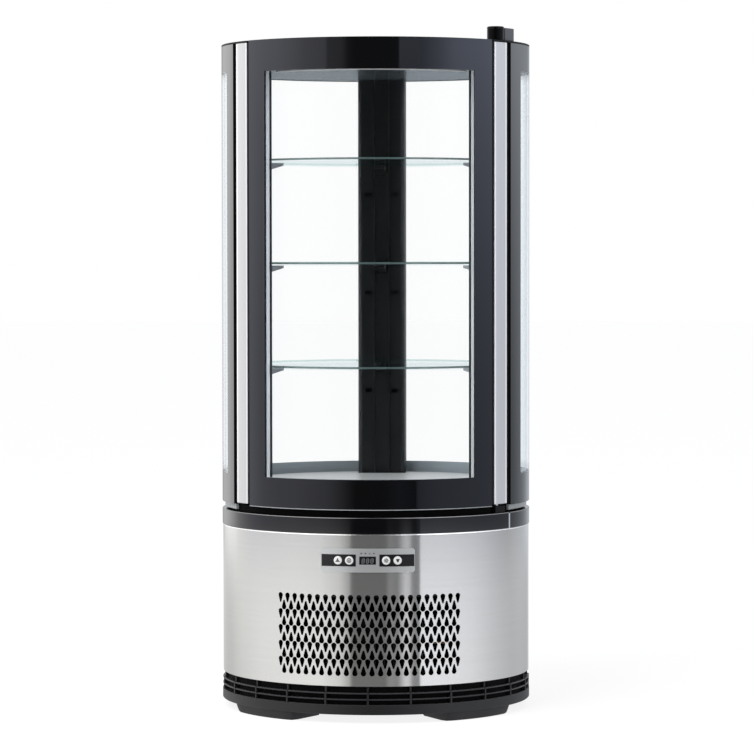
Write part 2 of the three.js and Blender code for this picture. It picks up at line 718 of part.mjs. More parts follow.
function makeDuct() {
  const outline = ductOutline(duct.half_width, duct_front_y, duct_back, duct.corner_radius);
  const hollow = ductOutline(duct.half_width - duct.wall, duct_front_y + duct.wall, duct_back - duct.wall,
    duct.corner_radius - duct.wall);
  const body = prism(outline, floor_base, ceiling_base - seat_gap, [hollow]);
  const holes = [];
  for (let level = 0; level < shelf.count; level++) {
    for (const side of [-1, 1]) {
      const oval = circlePoints(duct.hole_width / 2, 0, 0, small_facets / 2);
      const cutter = prism(oval, 0, duct.corner_radius).scale(1, duct.hole_height / duct.hole_width, 1);
      cutter.rotateX(Math.PI / 2).translate(side * duct.hole_x, duct_front_y + duct.corner_radius / 2,
        shelfBase(level) - duct.hole_drop);
      holes.push(cutter);
    }
  }
  addPart('air_duct', cut(body, ...holes), 'dark_plastic');
}

// A shelf arm: a flat leaf in the plane of a radius, deepest at its root, which is at the origin
function armSolid(reach, embed, width, top_z) {
  const belly_height = (arm.root_height + 2 * arm.tip_height) / 2;
  const outline = [[embed, 0], [embed, -arm.root_height], [0, -arm.root_height],
    [-reach * arm.belly_share, -belly_height], [-reach, -arm.tip_height], [-reach, 0]];
  const leaf = prism(outline.map(([x, z]) => new THREE.Vector2(x, z)), -width / 2, width / 2);
  return leaf.rotateX(Math.PI / 2).translate(0, 0, top_z);
}

// Posts beside the door, each with the jamb that the door seals against and its three shelf arms
function makePost(label, side) {
  const jamb_from = side * trim_start_deg;
  const leg_from = side * panel_start_deg;
  const leg_to = side * post_end_deg;
  const outline = [
    ...arcPoints(sill_radius, jamb_from, leg_from),
    ...arcPoints(post_outer, leg_from, leg_to),
    ...arcPoints(jamb_inner, leg_to, jamb_from),
  ];
  const arms = [];
  for (let level = 0; level < shelf.count; level++) {
    const leaf = armSolid(arm.reach, arm.embed, arm.width, shelfBase(level) - seat_gap);
    arms.push(leaf.translate(jamb_inner, 0, 0).rotateZ(THREE.MathUtils.degToRad(side * arm.centre_deg - 90)));
  }
  const leg = prism(outline, floor_top + seat_gap, ceiling_base - seat_gap);
  addPart(`post_${label}`, join(leg, ...arms), 'dark_plastic');
}

// Rail on the duct that carries the rear arms
function makeRail() {
  const half = rail.width / 2;
  const inner = half - rail.wall;
  const floor_y = rail_back_y - rail.wall;
  const corners = [[-half, rail_back_y], [-half, rail_front_y], [-inner, rail_front_y], [-inner, floor_y],
    [inner, floor_y], [inner, rail_front_y], [half, rail_front_y], [half, rail_back_y]];
  const outline = corners.map(([x, y]) => new THREE.Vector2(x, y));
  const body = prism(outline, floor_base, ceiling_base - seat_gap);
  const arms = [];
  for (let level = 0; level < shelf.count; level++) {
    const leaf = armSolid(arm.reach + rail.depth, rail.wall / 2, arm.rear_width, shelfBase(level) - seat_gap);
    arms.push(leaf.rotateZ(Math.PI / 2).translate(0, floor_y, 0));
  }
  addPart('shelf_rail', join(body, ...arms), 'dark_plastic');
}

function makeShelves() {
  const radius = jamb_inner - shelf.edge_clearance;
  const notch_half = duct.half_width + shelf.notch_clearance;
  const notch_front = rail_front_y - shelf.notch_clearance;
  const notch_deg = THREE.MathUtils.radToDeg(Math.asin(notch_half / radius));
  const outline = arcPoints(radius, notch_deg - rear_deg, rear_deg - notch_deg);
  outline.push(new THREE.Vector2(notch_half, notch_front), new THREE.Vector2(-notch_half, notch_front));
  const labels = ['lower', 'middle', 'upper'];
  labels.forEach((label, level) => {
    addPart(`shelf_${label}`, prism(outline, shelfBase(level), shelfBase(level) + shelf.thickness), 'glass');
  });
}

// Fixed glazing: on each side a sealed unit of two curved panes with a spacer between them
function loop(inner, outer, from_deg, to_deg, from_z, to_z, edge_deg, edge_height) {
  const body = sector(inner, outer, from_deg, to_deg, from_z, to_z);
  const side = Math.sign(to_deg - from_deg);
  const opening = sector(inner - overrun, outer + overrun, from_deg + side * edge_deg,
    to_deg - side * edge_deg, from_z + edge_height, to_z - edge_height);
  return cut(body, opening);
}

function makeSideGlazing(label, side) {
  const from_deg = side * panel_start_deg;
  const to_deg = side * panel_end_deg;
  const base = neck_top + seat_gap;
  const edge_deg = arcDegrees(door.gasket_rail, inner_pane_outer);
  const outer_pane = sector(outer_pane_inner, cabinet_radius, from_deg, to_deg, base, panel_top);
  const inner_pane = sector(inner_pane_inner, inner_pane_outer, from_deg, to_deg, base, panel_top);
  const spacer = loop(inner_pane_outer + seat_gap, outer_pane_inner - seat_gap, from_deg, to_deg, base,
    panel_top, edge_deg, door.frame_rail);
  addPart(`side_glass_outer_${label}`, outer_pane, 'glass');
  addPart(`side_glass_inner_${label}`, inner_pane, 'glass');
  addPart(`side_spacer_${label}`, spacer, 'dark_plastic');
}

function makeRearJoint() {
  const half = rear_joint_deg / 2;
  addPart('rear_joint_strip', sector(inner_pane_inner, cabinet_radius, rear_deg - half, rear_deg + half,
    neck_top + seat_gap, panel_top), 'dark_plastic');
}

// Door: two curved panes on a black frame, between two aluminium edge profiles, with a gasket inside
function makeDoorGlazing() {
  addPart('door_glass_outer', sector(outer_pane_inner, cabinet_radius, -glass_edge_deg, glass_edge_deg,
    neck_top, glass_top), 'glass');
  addPart('door_glass_inner', sector(inner_pane_inner, inner_pane_outer, -glass_edge_deg, glass_edge_deg,
    door_base, panel_top), 'glass');
  const frame = loop(inner_pane_outer + seat_gap, outer_pane_inner - seat_gap, -seal_edge_deg, seal_edge_deg,
    door_base, panel_top, seal_edge_deg - glass_edge_deg + door.frame_inset_deg, door.frame_rail);
  const lip_start_deg = glass_edge_deg + arcDegrees(seat_gap, inner_pane_inner);
  const lips = [-1, 1].map((side) => sector(inner_pane_inner, cabinet_radius - casing_inset,
    side * lip_start_deg, side * seal_edge_deg, door_base, panel_top));
  addPart('door_frame', join(frame, ...lips), 'dark_plastic');
}

function pivotBore(radius, from_z, to_z) {
  const centre = polar(pivot_radius, hinge_deg);
  return prism(circlePoints(radius, centre.x, centre.y), from_z, to_z);
}

function makeDoorTrims() {
  const profile = (side) => sector(inner_pane_inner + seat_gap, cabinet_radius, side * trim_start_deg,
    side * trim_end_deg, door_base, panel_top);
  addPart('door_trim_left', profile(-1), 'aluminium');
  const bore = hinge.pin_radius + hinge.pin_clearance;
  const depth = hinge.pin_engage + hinge.pin_clearance;
  addPart('door_trim_right', cut(
    profile(1),
    pivotBore(bore, panel_top - depth, panel_top + overrun),
    pivotBore(bore, door_base - overrun, door_base + depth),
  ), 'aluminium');
}

function makeGasket() {
  const outer_deg = trim_start_deg + door.gasket_deg;
  const low = door_base + door.gasket_inset;
  const high = panel_top - door.gasket_inset;
  addPart('door_gasket', loop(sill_radius + seat_gap, inner_pane_inner - seat_gap, -outer_deg, outer_deg,
    low, high, door.gasket_deg, door.gasket_rail), 'rubber');
}

// Top: a thin plate that laps the side glass, over an insulated ceiling with a light bar
function makeTop() {
  const lip_deg = glass_edge_deg + top.lip_overlap_deg;
  const outline = arcPoints(cabinet_radius - top.front_inset, -lip_deg, lip_deg);
  outline.push(...arcPoints(cabinet_radius, lip_deg, 360 - lip_deg));
  const pin_hole = pivotBore(hinge.pin_radius + hinge.pin_clearance, lip_base - overrun, glass_top + overrun);
  addPart('top_plate', cut(prism(outline, lip_base, glass_top), pin_hole), 'dark_plastic');

  const ceiling = drum(drum_radius, ceiling_base, panel_top);
  const notch = behindDoor(ceiling_base - overrun, panel_top + overrun);
  addPart('ceiling_panel', cut(ceiling, notch), 'foam_white');

  const light_outer = sill_radius - top.light_width;
  const light_top = ceiling_base - seat_gap;
  addPart('light_bar', sector(light_outer - top.light_width, light_outer, -top.light_deg, top.light_deg,
    light_top - top.light_depth, light_top), 'light');
}

// Hinge: a pin at each end of the right-hand door profile, in a cap above and a bracket below
function makeHinge() {
  const clear = hinge.pin_clearance;
  const bore = hinge.pin_radius + clear;
  const pin_top = cap_top - hinge.cap_roof;
  addPart('hinge_pin_top', pivotBore(hinge.pin_radius, panel_top - hinge.pin_engage, pin_top), 'steel');
  const tail = sector(inner_pane_inner + hinge.cap_inset, cabinet_radius - hinge.cap_inset, hinge_deg,
    hinge.cap_end_deg, cap_base, cap_top - hinge.cap_step);
  const cap = join(pivotBore(hinge.cap_radius, cap_base, cap_top), tail);
  addPart('hinge_cap', cut(cap, pivotBore(bore, cap_base - overrun, pin_top + clear)), 'dark_plastic');

  const outer = cabinet_radius - bracket.outer_inset;
  const bracket_body = sector(outer - bracket.width, outer, bracket.from_deg, bracket.to_deg, neck_base,
    neck_top - seat_gap);
  const pin_floor = neck_base + bracket.floor;
  addPart('hinge_bracket', cut(bracket_body, pivotBore(bore, pin_floor, neck_top + overrun)), 'dark_plastic');
  const pin = pivotBore(hinge.pin_radius, pin_floor + clear, door_base + hinge.pin_engage);
  addPart('hinge_pin_bottom', pin, 'steel');
}

// Controls: a curved plate over the casing's window, with a display and four round buttons
const plate_inner = casing_radius + seat_gap;
const plate_outer = plate_inner + plate.thickness;

function makeControls() {
  const half_deg = plate.width_deg / 2;
  const low = plate_centre - plate.height / 2;
  const high = plate_centre + plate.height / 2;
  const holes = button.angles_deg.map((deg) => onWall(prism(circlePoints(button.radius + button.clearance),
    plate_inner - overrun, plate_outer + overrun), deg, plate_centre));
  const half_display = plate.display_deg / 2;
  const display_gap = arcDegrees(seat_gap, plate_inner);
  const display_low = plate_centre - plate.display_height / 2;
  const display_high = plate_centre + plate.display_height / 2;
  holes.push(sector(plate_inner - overrun, plate_outer + overrun, -half_display - display_gap,
    half_display + display_gap, display_low - seat_gap, display_high + seat_gap));
  const sheet = sector(plate_inner, plate_outer, -half_deg, half_deg, low, high);
  addPart('control_plate', cut(sheet, ...holes), 'silver');

  const half_width = plate_inner * Math.sin(THREE.MathUtils.degToRad(half_display));
  addPart('display_window', keepInside(
    block([-half_width, -plate_outer - overrun, display_low],
      [half_width, board_front_y - seat_gap, display_high]),
    drum(plate_outer + plate.display_stand, display_low - overrun, display_high + overrun),
  ), 'display');

  const names = ['left_outer', 'left_inner', 'right_inner', 'right_outer'];
  const back = plate_inner - button.back_depth;
  button.angles_deg.forEach((deg, i) => {
    const stem = prism(circlePoints(button.radius), back, plate_outer + button.stand);
    addPart(`button_${names[i]}`, onWall(stem, deg, plate_centre), 'button_white');
  });
}

function makeControlHousing() {
  const half = housing.half_width;
  const low = plate_centre - housing.height / 2;
  const high = plate_centre + housing.height / 2;
  const front_y = -casing_inner;
  const shell = cut(
    block([-half, front_y, low], [half, housing_back_y, high]),
    block([-half + housing.wall, front_y - overrun, low + housing.wall],
      [half - housing.wall, housing_back_y - housing.wall, high - housing.wall]),
  );
  const bore = drum(casing_inner - curve_gap, low - overrun, high + overrun);
  addPart('control_housing', keepInside(shell, bore), 'black_plastic');
  addPart('control_board', block(
    [-board.half_width, board_front_y, plate_centre - board.height / 2],
    [board.half_width, board_front_y + board.thickness, plate_centre + board.height / 2],
  ), 'board_green');
}

function makeGland() {
  const body = turned([
    [gland.bore_radius, casing_inner - gland.nut_depth],
    [gland.body_radius, casing_inner - gland.nut_depth],
    [gland.body_radius, casing_radius + seat_gap],
    [gland.flange_radius, casing_radius + seat_gap],
    [gland.flange_radius, casing_radius + seat_gap + gland.flange_thickness],
    [gland.bore_radius, casing_radius + seat_gap + gland.flange_thickness],
  ], small_facets);
  addPart('cord_gland', onWall(body, rear_deg, gland_height), 'rubber');
}

makeTray();
makeFeet();
makeSkirt();
makeCasing();
makeRing();
makeCompressor();
makeCondenser();
makePipes();
makeDrainPan();
makeTub();
makeEvaporator();
makeDeck();
makeControls();
makeControlHousing();
makeGland();
makePost('left', -1);
makePost('right', 1);
makeDuct();
makeRail();
makeShelves();
makeSideGlazing('left', -1);
makeSideGlazing('right', 1);
makeRearJoint();
makeDoorGlazing();
makeDoorTrims();
makeGasket();
makeTop();
makeHinge();

export default cabinet;
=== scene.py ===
"""Looks of the round refrigerated display cabinet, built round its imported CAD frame.

Sizes are in millimetres, and angles in degrees from the front centre, positive towards +X. Points turn into
metres when a mesh is made.
"""
import math

import bpy
import bmesh
from mathutils import Matrix, Vector


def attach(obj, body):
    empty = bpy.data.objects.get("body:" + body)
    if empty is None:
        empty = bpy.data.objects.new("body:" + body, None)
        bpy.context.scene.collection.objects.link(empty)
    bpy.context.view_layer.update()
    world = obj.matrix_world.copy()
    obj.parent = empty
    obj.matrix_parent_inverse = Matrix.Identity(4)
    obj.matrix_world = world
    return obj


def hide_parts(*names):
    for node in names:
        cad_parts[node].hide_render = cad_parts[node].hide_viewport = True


MM = 0.001
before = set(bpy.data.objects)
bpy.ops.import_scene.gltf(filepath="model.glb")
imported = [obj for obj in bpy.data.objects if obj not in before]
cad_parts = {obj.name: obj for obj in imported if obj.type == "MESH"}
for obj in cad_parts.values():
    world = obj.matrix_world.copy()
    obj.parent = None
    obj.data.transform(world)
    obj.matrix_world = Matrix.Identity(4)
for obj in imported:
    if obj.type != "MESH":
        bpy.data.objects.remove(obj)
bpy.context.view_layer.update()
scene = bpy.context.scene

# Camera, as solved from the rings of the photograph (metres and degrees, lens and sensor in millimetres)
CAMERA_DISTANCE = 5.333
CAMERA_HEIGHT = 0.706
CAMERA_AZIMUTH = 3.0
CAMERA_TILT = 2.07
CAMERA_YAW = 0.0126
CAMERA_ROLL = -0.065
CAMERA_LENS = 163.03
SENSOR_WIDTH = 36

# Radii (mm)
OUTER_R = 240
CASING_R = 239
CASING_INNER_R = 237.8
CASING_CUT = (CASING_INNER_R - 3, CASING_R + 3)
RING_INNER_R = 226
RING_LEDGE_R = 216
COLLAR_R = 237.3
COLLAR_INNER_R = 232.8
PANE_OUTER = (236, 240)
PANE_INNER = (216, 220)
DRUM_R = 213.7
SILL_R = 203.7
SHELF_R = 198
PIVOT_R = 228

# Levels (mm)
FOOT_TOP = 13
GLAND_Z = 92
SKIRT_BASE = 13.3
CASING_Z = (56.3, 285)
RING_Z = (285.3, 310)
NECK_TOP = 321
SIDE_GLASS_BASE = 321.3
DOOR_BASE = 324
FLOOR_Z = (349.3, 351.3)
PANEL_TOP = 1026
GLASS_TOP = 1029
LIP_BASE = 1026.3
CAP_Z = (1029.3, 1050)
SHELF_BASES = (529.5, 687.5, 845.5)
SHELF_THICKNESS = 5
BORDER_LOW = 367
BORDER_HIGH = 981
REAR_BORDER_HIGH = 985

# Angles (degrees)
DOOR_EDGE_DEG = 50.3
DOOR_BORDER_DEG = 41.4
TRIM_DEG = (51.8, 59.8)
PANEL_START_DEG = 62.3
PANEL_END_DEG = 178.4
SIDE_BORDER_DEG = {"left": 69.4, "right": 71.3}
REAR_BORDER_DEG = 171
HINGE_DEG = 56.2
STEP_DEG = 2
SHARP_DEG = 40
SIDES = (("left", -1), ("right", 1))


# Plain geometry, in millimetres

def polar(deg, radius):
    angle = math.radians(deg)
    return radius * math.sin(angle), -radius * math.cos(angle)


def arc_degrees(length, radius):
    """The angle that a length along an arc takes."""
    return math.degrees(length / radius)


def span(start, end, step=STEP_DEG):
    """Angles or levels from start to end in even steps of at most the given size."""
    count = max(1, math.ceil(abs(end - start) / step - 1e-9))
    return [start + (end - start) * i / count for i in range(count + 1)]


def with_breaks(start, end, breaks, step=STEP_DEG):
    """Angles or levels from start to end that also hold each break."""
    stops = [start] + [b for b in breaks if start < b < end] + [end]
    values = [start]
    for low, high in zip(stops, stops[1:]):
        values += span(low, high, step)[1:]
    return values


def arc(radius, start, end, step=STEP_DEG):
    return [polar(deg, radius) for deg in span(start, end, step)]


class Shape:
    """Points, faces and each face's material number, gathered for one mesh."""

    def __init__(self):
        self.points, self.faces, self.marks = [], [], []

    def loft(self, rings, mark=0, closed=False, highlight_strips=()):
        """Rings of equally many points joined one to the next, and the ends capped, or joined too if closed.

        The strips between the points in highlight_strips and the next ones get material 1, where the ring and
        the door profiles put a painted highlight.
        """
        size, base = len(rings[0]), len(self.points)
        self.points += [p for ring in rings for p in ring]
        for row in range(len(rings) - (not closed)):
            here, there = base + row * size, base + (row + 1) % len(rings) * size
            for i in range(size):
                j = (i + 1) % size
                self.faces.append([here + i, here + j, there + j, there + i])
                self.marks.append(1 if i in highlight_strips else mark)
        if not closed:
            end = len(self.points) - 1
            self.faces += [[base + i for i in range(size)], [end - i for i in range(size)]]
            self.marks += [mark, mark]
        return self

    def sweep(self, profile, degs, mark=0, closed=False, highlight_strips=()):
        """A closed outline of (radius, z) points carried round the axis through the given angles."""
        return self.loft([[(*polar(deg, r), z) for r, z in profile] for deg in degs], mark, closed, highlight_strips)

    def ring(self, profile, mark=0):
        return self.sweep(profile, span(0, 360)[:-1], mark, closed=True)

    def plug(self, outline, radii, deg, height, mark=0):
        """An outline of (across, up) points carried through the round wall, from one radius to the next."""
        return self.loft([on_wall([(a, u, r) for a, u in outline], deg, height) for r in radii], mark)

    def prism(self, outline, low, high):
        return self.loft([[(x, y, z) for x, y in outline] for z in (low, high)])


def box_profile(inner, outer, low, high, edge=0):
    """A rectangle of (radius, z) points, its outer corners cut by edge."""
    if not edge:
        return [(inner, low), (outer, low), (outer, high), (inner, high)]
    return [(inner, low), (outer - edge, low), (outer, low + edge), (outer, high - edge),
            (outer - edge, high), (inner, high)]


def on_wall(points, deg, height):
    """Points (across, up, radius) set on the round wall at an angle and a height."""
    angle = math.radians(deg)
    across = (math.cos(angle), math.sin(angle))
    outward = (math.sin(angle), -math.cos(angle))
    return [(a * across[0] + r * outward[0], a * across[1] + r * outward[1], height + up)
            for a, up, r in points]


def circle(radius, count, centre=(0, 0)):
    turns = [2 * math.pi * i / count for i in range(count)]
    return [(centre[0] + radius * math.cos(t), centre[1] + radius * math.sin(t)) for t in turns]


def disc(radius, count, wall_radius, deg, height):
    """A circle's points set on the round wall."""
    return on_wall([(x, y, wall_radius) for x, y in circle(radius, count)], deg, height)


# Meshes and objects

def add_object(name, data):
    obj = bpy.data.objects.new(name, data)
    scene.collection.objects.link(obj)
    return obj


# The materials of this script by name, because the frame brings some of the same names.
looks = {}


def give(mesh, materials):
    """Gives a mesh the materials of these names."""
    mesh.materials.clear()
    for name in materials:
        mesh.materials.append(looks[name])


def to_mesh(shape, materials):
    mesh = bpy.data.meshes.new("shape")
    mesh.from_pydata([tuple(c * MM for c in p) for p in shape.points], [], shape.faces)
    give(mesh, materials)
    mesh.polygons.foreach_set("material_index", shape.marks)
    work = bmesh.new()
    work.from_mesh(mesh)
    bmesh.ops.recalc_face_normals(work, faces=work.faces)
    work.to_mesh(mesh)
    work.free()
    return mesh


def round_edges(obj, width):
    """Rounds the sharp edges of an object by a width in millimetres."""
    bevel = obj.modifiers.new("rounding", "BEVEL")
    bevel.width = width * MM
    bevel.segments = 2
    bevel.limit_method = "ANGLE"
    bevel.angle_limit = math.radians(SHARP_DEG)
    obj.modifiers.new("shading", "WEIGHTED_NORMAL")


def hang(name, mesh, replaced=(), body="cabinet", rounding=0, sharp_deg=0):
    """Makes a piece of a mesh, hides the nodes it stands for and sets the body it rides on.

    Its edges are rounded by a width in millimetres, or sharp from an angle on, or stay as they are shaded.
    """
    mesh.name = name
    obj = add_object(name, mesh)
    if rounding or sharp_deg:
        mesh.shade_smooth()
        mesh.set_sharp_from_angle(angle=math.radians(180 if rounding else sharp_deg))
    if rounding:
        round_edges(obj, rounding)
    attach(obj, body)
    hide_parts(*replaced)


def place(name, shape, materials, replaced=(), body="cabinet", rounding=0, sharp_deg=35):
    """Makes a piece of a shape."""
    hang(name, to_mesh(shape, materials), replaced, body, rounding, sharp_deg)


def cut_out(mesh, cutter):
    """The mesh without the cutter's volume. The walls of the cut get the mesh's last material."""
    body = add_object("body", mesh)
    tool = add_object("tool", to_mesh(cutter, []))
    tool.data.materials.append(mesh.materials[-1])
    cut = body.modifiers.new("cut", "BOOLEAN")
    cut.operation = "DIFFERENCE"
    cut.solver = "EXACT"
    cut.material_mode = "TRANSFER"
    cut.object = tool
    made = bpy.data.meshes.new_from_object(body.evaluated_get(bpy.context.evaluated_depsgraph_get()))
    bpy.data.objects.remove(body)
    bpy.data.objects.remove(tool)
    return made


def shade_as_wall(mesh, radii, tolerance=0.05):
    """Shades the faces that lie on a round wall as the true cylinder, and leaves the others flat."""
    mesh.shade_smooth()
    normals = [None] * len(mesh.loops)
    for face in mesh.polygons:
        corners = [mesh.vertices[v].co.xy.length / MM for v in face.vertices]
        wall = any(max(abs(c - r) for c in corners) < tolerance for r in radii)
        for loop, v in zip(face.loop_indices, face.vertices):
            radial = mesh.vertices[v].co.xy.normalized().to_3d()
            outward = face.normal.dot(radial)
            if wall and abs(outward) > 0.9:
                normals[loop] = radial if outward > 0 else -radial
            else:
                normals[loop] = face.normal.copy()
    mesh.normals_split_custom_set(normals)


# Materials: every one has some variation over the surface, and a bump or an uneven sheen

class Graph:
    """The node tree of a material or of the world, with short ways to add nodes and join them.

    A colour is (red, green, blue) in linear light.
    """

    def __init__(self, name, owner=None):
        self.owner = owner or bpy.data.materials.new(name)
        if not owner:
            looks[name] = self.owner
        self.owner.use_nodes = True
        self.tree = self.owner.node_tree
        self.tree.nodes.clear()

    def node(self, kind, inputs=(), **settings):
        made = self.tree.nodes.new("ShaderNode" + kind)
        for key, value in settings.items():
            setattr(made, key, value)
        for key, value in dict(inputs).items():
            self.feed(made.inputs[key], value)
        return made

    def feed(self, socket, value):
        if isinstance(value, bpy.types.NodeSocket):
            self.tree.links.new(value, socket)
        else:
            socket.default_value = (*value, 1) if socket.type == "RGBA" else value

    def math(self, operation, a, b=0.0):
        return self.node("Math", {0: a, 1: b}, operation=operation).outputs[0]

    def remap(self, value, low, high, from_low=0.0, from_high=1.0):
        limits = {"From Min": from_low, "From Max": from_high, "To Min": low, "To Max": high}
        return self.node("MapRange", {"Value": value, **limits}).outputs["Result"]

    def place(self, scale=(1, 1, 1)):
        """Object coordinates in metres, times scale."""
        source = self.node("TexCoord").outputs["Object"]
        return self.node("Mapping", {"Vector": source, "Scale": scale}).outputs["Vector"]

    def round_place(self, scale):
        """Coordinates of a round wall: along the arc, out from the axis, and up, in metres times scale."""
        source = self.node("TexCoord").outputs["Object"]
        xyz = self.node("SeparateXYZ", {0: source}).outputs
        turn = self.math("ARCTAN2", xyz["X"], self.math("MULTIPLY", xyz["Y"], -1.0))
        along = self.math("MULTIPLY", turn, OUTER_R * MM)
        radius = self.math("SQRT", self.math("ADD", self.math("POWER", xyz["X"], 2.0),
                                             self.math("POWER", xyz["Y"], 2.0)))
        wrapped = self.node("CombineXYZ", {"X": along, "Y": radius, "Z": xyz["Z"]}).outputs[0]
        return self.node("Mapping", {"Vector": wrapped, "Scale": scale}).outputs["Vector"]

    def noise(self, where, scale, detail=3.0, roughness=0.5):
        inputs = {"Vector": where, "Scale": scale, "Detail": detail, "Roughness": roughness}
        return self.node("TexNoise", inputs).outputs["Fac"]

    def blend(self, amount, a, b, mode="MIX"):
        return self.node("Mix", {0: amount, 6: a, 7: b}, data_type="RGBA", blend_type=mode).outputs[2]

    def shades(self, amount, color, spread):
        return self.blend(amount, scaled(color, 1 - spread), scaled(color, 1 + spread))

    def uneven(self, amount, value, low=0.85, high=1.15):
        return self.remap(amount, value * low, value * high)

    def mix(self, share, a, b):
        return self.node("MixShader", {0: share, 1: a, 2: b}).outputs[0]

    def bump(self, height, strength, distance):
        inputs = {"Height": height, "Strength": strength, "Distance": distance}
        return self.node("Bump", inputs).outputs["Normal"]

    def shader(self, kind, **inputs):
        return self.node(kind, {key.replace("_", " "): value for key, value in inputs.items()}).outputs[0]

    def principled(self, **inputs):
        return self.shader("BsdfPrincipled", **inputs)

    def finish(self, shader):
        self.node("OutputMaterial", {"Surface": shader})
        return self.owner


def linear(*rgb):
    """A colour given as 0 to 255 display values, as linear light."""
    def channel(value):
        share = value / 255
        return share / 12.92 if share <= 0.04045 else ((share + 0.055) / 1.055) ** 2.4
    return [channel(v) for v in rgb]


def scaled(color, share):
    return [c * share for c in color]


def moulded(name, color, roughness, grain=900.0, spread=0.12, bump=0.12, specular=0.5, coat=0.0):
    """Plastic, rubber or enamel: slightly uneven colour and sheen, and a fine moulded texture."""
    g = Graph(name)
    cloud = g.noise(g.place(), 22.0, 4.0)
    fine = g.noise(g.place(), grain, 2.0)
    return g.finish(g.principled(
        Base_Color=g.shades(cloud, color, spread), Roughness=g.uneven(cloud, roughness),
        Normal=g.bump(fine, bump, 0.0003), Specular_IOR_Level=specular, Coat_Weight=coat,
        Coat_Roughness=0.08))


def metal(name, color, roughness, metallic=1.0, stretch=(1, 1, 1), grain=400.0, spread=0.08):
    """Plain metal with a stretched grain in its colour and sheen."""
    g = Graph(name)
    fine = g.noise(g.place(stretch), grain)
    cloud = g.noise(g.place(), 14.0)
    return g.finish(g.principled(
        Base_Color=g.shades(fine, color, spread), Metallic=metallic, Roughness=g.uneven(cloud, roughness),
        Normal=g.bump(fine, 0.05, 0.0002)))


def brushed_steel(name, color, roughness):
    """Sheet steel brushed round the cabinet: grain along the arc, highlights stretched upward."""
    g = Graph(name)
    grain = g.noise(g.round_place((12, 12, 1500)), 1.0, 3.0, 0.6)
    streak = g.noise(g.round_place((3, 3, 260)), 1.0, 2.0)
    mixed = g.math("ADD", g.math("MULTIPLY", grain, 0.7), g.math("MULTIPLY", streak, 0.3))
    return g.finish(g.principled(
        Base_Color=g.shades(g.remap(mixed, 0, 1, 0.3, 0.7), color, 0.035), Metallic=0.85,
        Roughness=g.uneven(grain, roughness, high=1.2), Anisotropic=0.8, Anisotropic_Rotation=0.25,
        Tangent=g.node("Tangent", direction_type="RADIAL", axis="Z").outputs[0],
        Normal=g.bump(grain, 0.03, 0.00008)))


def satin_profile(name, color, roughness):
    """Anodised door profile with a faint drawn grain up its length."""
    g = Graph(name)
    grain = g.noise(g.place((900, 900, 6)), 1.0)
    return g.finish(g.principled(
        Base_Color=g.shades(grain, color, 0.05), Metallic=0.85, Roughness=g.uneven(grain, roughness),
        Normal=g.bump(grain, 0.05, 0.00008)))


def fresnel_share(g, base, power=5.0):
    """The share of light that a clear face reflects, the same from both of its sides."""
    facing = g.node("LayerWeight", {"Blend": 0.5}).outputs["Facing"]
    return g.math("ADD", g.math("MULTIPLY", g.math("POWER", facing, power), 1.0 - base), base)


def clear_glass(name, tint, most=1.0):
    """Clear pane: light goes straight through, and some is reflected, more at a grazing look up to most."""
    g = Graph(name)
    smear = g.noise(g.place(), 6.0)
    through = g.shader("BsdfTransparent", Color=g.blend(fresnel_share(g, 0.0, 3.0), tint, (0.93, 0.97, 0.98)))
    ripple = g.bump(g.noise(g.place(), 9.0, 2.0), 0.006, 0.0006)
    shine = g.shader("BsdfGlossy", Color=(1, 1, 1), Roughness=g.uneven(smear, 0.012, 0.7, 1.5), Normal=ripple)
    share = g.math("MINIMUM", fresnel_share(g, 0.003), most)
    return g.finish(g.mix(g.math("MULTIPLY", share, g.uneven(smear, 1, 0.95, 1.05)), through, shine))


def glass_edge(name, color, opacity):
    """Ground edge of a pane: coloured, and only partly seen through."""
    g = Graph(name)
    cloud = g.noise(g.place(), 160.0)
    solid = g.principled(Base_Color=g.shades(cloud, color, 0.25), Roughness=g.remap(cloud, 0.22, 0.4))
    return g.finish(g.mix(opacity, g.shader("BsdfTransparent", Color=(0.75, 0.88, 0.85)), solid))


def glossy_black(name, color, ior, roughness):
    """Black under a polished face: the print seen through its glass, or lacquered plastic."""
    g = Graph(name)
    cloud = g.noise(g.place(), 9.0, 2.0)
    return g.finish(g.principled(
        Base_Color=g.shades(cloud, color, 0.2), IOR=ior, Roughness=g.uneven(cloud, roughness, 0.8, 1.2),
        Normal=g.bump(cloud, 0.02, 0.0006)))


def half_mirror(name, color, shine, share, roughness):
    """Satin sheet: a dull colour that mirrors a fixed share of what lies beyond it."""
    g = Graph(name)
    cloud = g.noise(g.place(), 7.0)
    gloss = g.shader("BsdfGlossy", Color=shine, Roughness=g.uneven(cloud, roughness, 0.8, 1.2))
    return g.finish(g.mix(g.uneven(cloud, share, 0.92, 1.08), g.shader("BsdfDiffuse", Color=color), gloss))


brushed_steel("brushed_steel", (0.6, 0.595, 0.577), 0.1)
# A lighter copy of the brushed steel for the casing's hem: a painted highlight along its top edge
brushed_steel("steel_edge_highlight", (0.86, 0.86, 0.85), 0.24)
metal("dark_steel", (0.03, 0.03, 0.032), 0.55)
metal("pin_steel", (0.6, 0.6, 0.6), 0.3, stretch=(1, 1, 12))
satin_profile("satin_profile", (0.635, 0.63, 0.63), 0.32)
